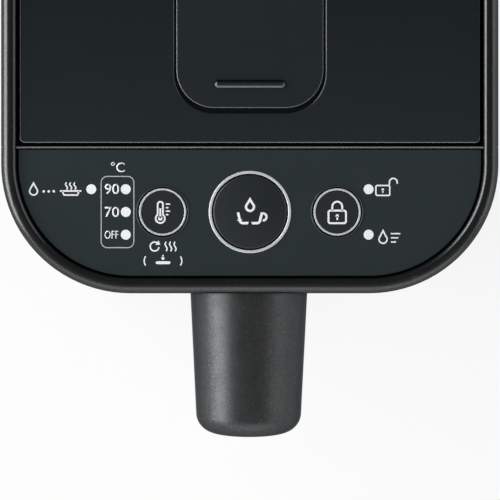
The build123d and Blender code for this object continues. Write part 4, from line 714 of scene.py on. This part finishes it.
def cup_and_drop(ink):
    ribbon(ink, drop_outline(3.1, 4.4, 0, 2.6), 0.86, True)
    cup = [(-4.6, -0.2), (-3.9, -3.0)]
    cup += arc(-2.6, -3.0, 1.3, 180, 270, 6) + arc(2.6, -3.0, 1.3, 270, 360, 6)
    cup.append((4.6, -0.2))
    ribbon(ink, cup, 0.96)
    ribbon(ink, arc(5.0, -1.9, 1.35, -95, 105, 12), 0.84)


def steam(ink, cx, cy, tall, line, step):
    """Three upright waves."""
    sway, parts = 0.38, 16
    for across in (cx - step, cx, cx + step):
        wave = []
        for i in range(parts + 1):
            share = i / parts
            wave.append((across + sway * math.sin(2 * math.pi * share), cy + tall * (share - 0.5)))
        ribbon(ink, wave, line)


def boiling(ink):
    """From a drop, by three dots, to a steaming pan."""
    ribbon(ink, drop_outline(3.0, 4.6, -8.6, 0), 0.55, True)
    for dot in range(3):
        filled(ink, arc(-4.7 + 1.9 * dot, -0.9, 0.48, 0, 345, 16))
    steam(ink, 5.6, 1.15, 2.7, 0.5, 1.6)
    ribbon(ink, [(1.5, -0.75), (9.7, -0.75)], 0.6)
    ribbon(ink, [(2.4, -0.75), (3.0, -2.3), (8.2, -2.3), (8.8, -0.75)], 0.55)


def reheat(ink):
    """A turning arrow and steam, above a key held down, in brackets."""
    ribbon(ink, arc(-3.2, 2.3, 1.7, 60, 350, 24), 0.55)
    filled(ink, [(-2.9, 2.9), (-1.8, 4.7), (-1.0, 3.0)])
    steam(ink, 2.9, 2.3, 3.6, 0.52, 1.7)
    ribbon(ink, arc(-4.2, -3.2, 3.0, 145, 215, 8), 0.48)
    ribbon(ink, arc(4.2, -3.2, 3.0, -35, 35, 8), 0.48)
    filled(ink, rounded_box(5.6, 1.1, 0.5, 0, -3.9))
    filled(ink, arc(0, -2.2, 0.62, 0, 345, 16))
    ribbon(ink, [(0, -1.9), (0, -0.9)], 0.5)


def slow_drop(ink):
    ribbon(ink, drop_outline(3.1, 4.8, -2.2, 0), 0.55, True)
    for row, reach in ((1.3, 3.6), (-0.3, 2.8), (-1.9, 2.0)):
        ribbon(ink, [(0.8, row), (0.8 + reach, row)], 0.52)


def temperature_box(ink):
    ribbon(ink, rounded_box(12.5, 27.25, 2.3), 0.38, True)


def number_90(ink):
    lettering(ink, "90", *NUMBER_SIZE)


def number_70(ink):
    lettering(ink, "70", *NUMBER_SIZE)


def word_off(ink):
    lettering(ink, "OFF", *OFF_SIZE)


def celsius(ink):
    lettering(ink, "°C", NUMBER_SIZE[0])


# middles of the marks on the panel, as columns and rows of the photograph
TEMPERATURE_BOX = (117.5, 212.0)
PANEL_MARKS = {
    "print_90": (number_90, (112.0, 188.9)),
    "print_70": (number_70, (112.0, 211.9)),
    "print_off": (word_off, (111.6, 234.7)),
    "print_celsius": (celsius, (118.0, 167.0)),
    "print_boiling": (boiling, (56.0, 189.0)),
    "print_reheat": (reheat, (163.0, 252.5)),
    "print_open_padlock": (open_padlock, (383.0, 186.5)),
    "print_slow_drop": (slow_drop, (389.0, 237.0)),
}
KEY_MARKS = {"dispense": cup_and_drop, "keep_warm": thermometer, "unlock": closed_padlock}

printed(
    "print_temperature_box", "pot", at(*TEMPERATURE_BOX), "control_panel", temperature_box, ink_grey
)
for name, (draw, middle) in PANEL_MARKS.items():
    printed(name, "pot", at(*middle), "control_panel", draw)
for key, draw in KEY_MARKS.items():
    printed(f"print_{key}", f"{key}_key", middle_of(f"{key}_ring"), f"{key}_button", draw)
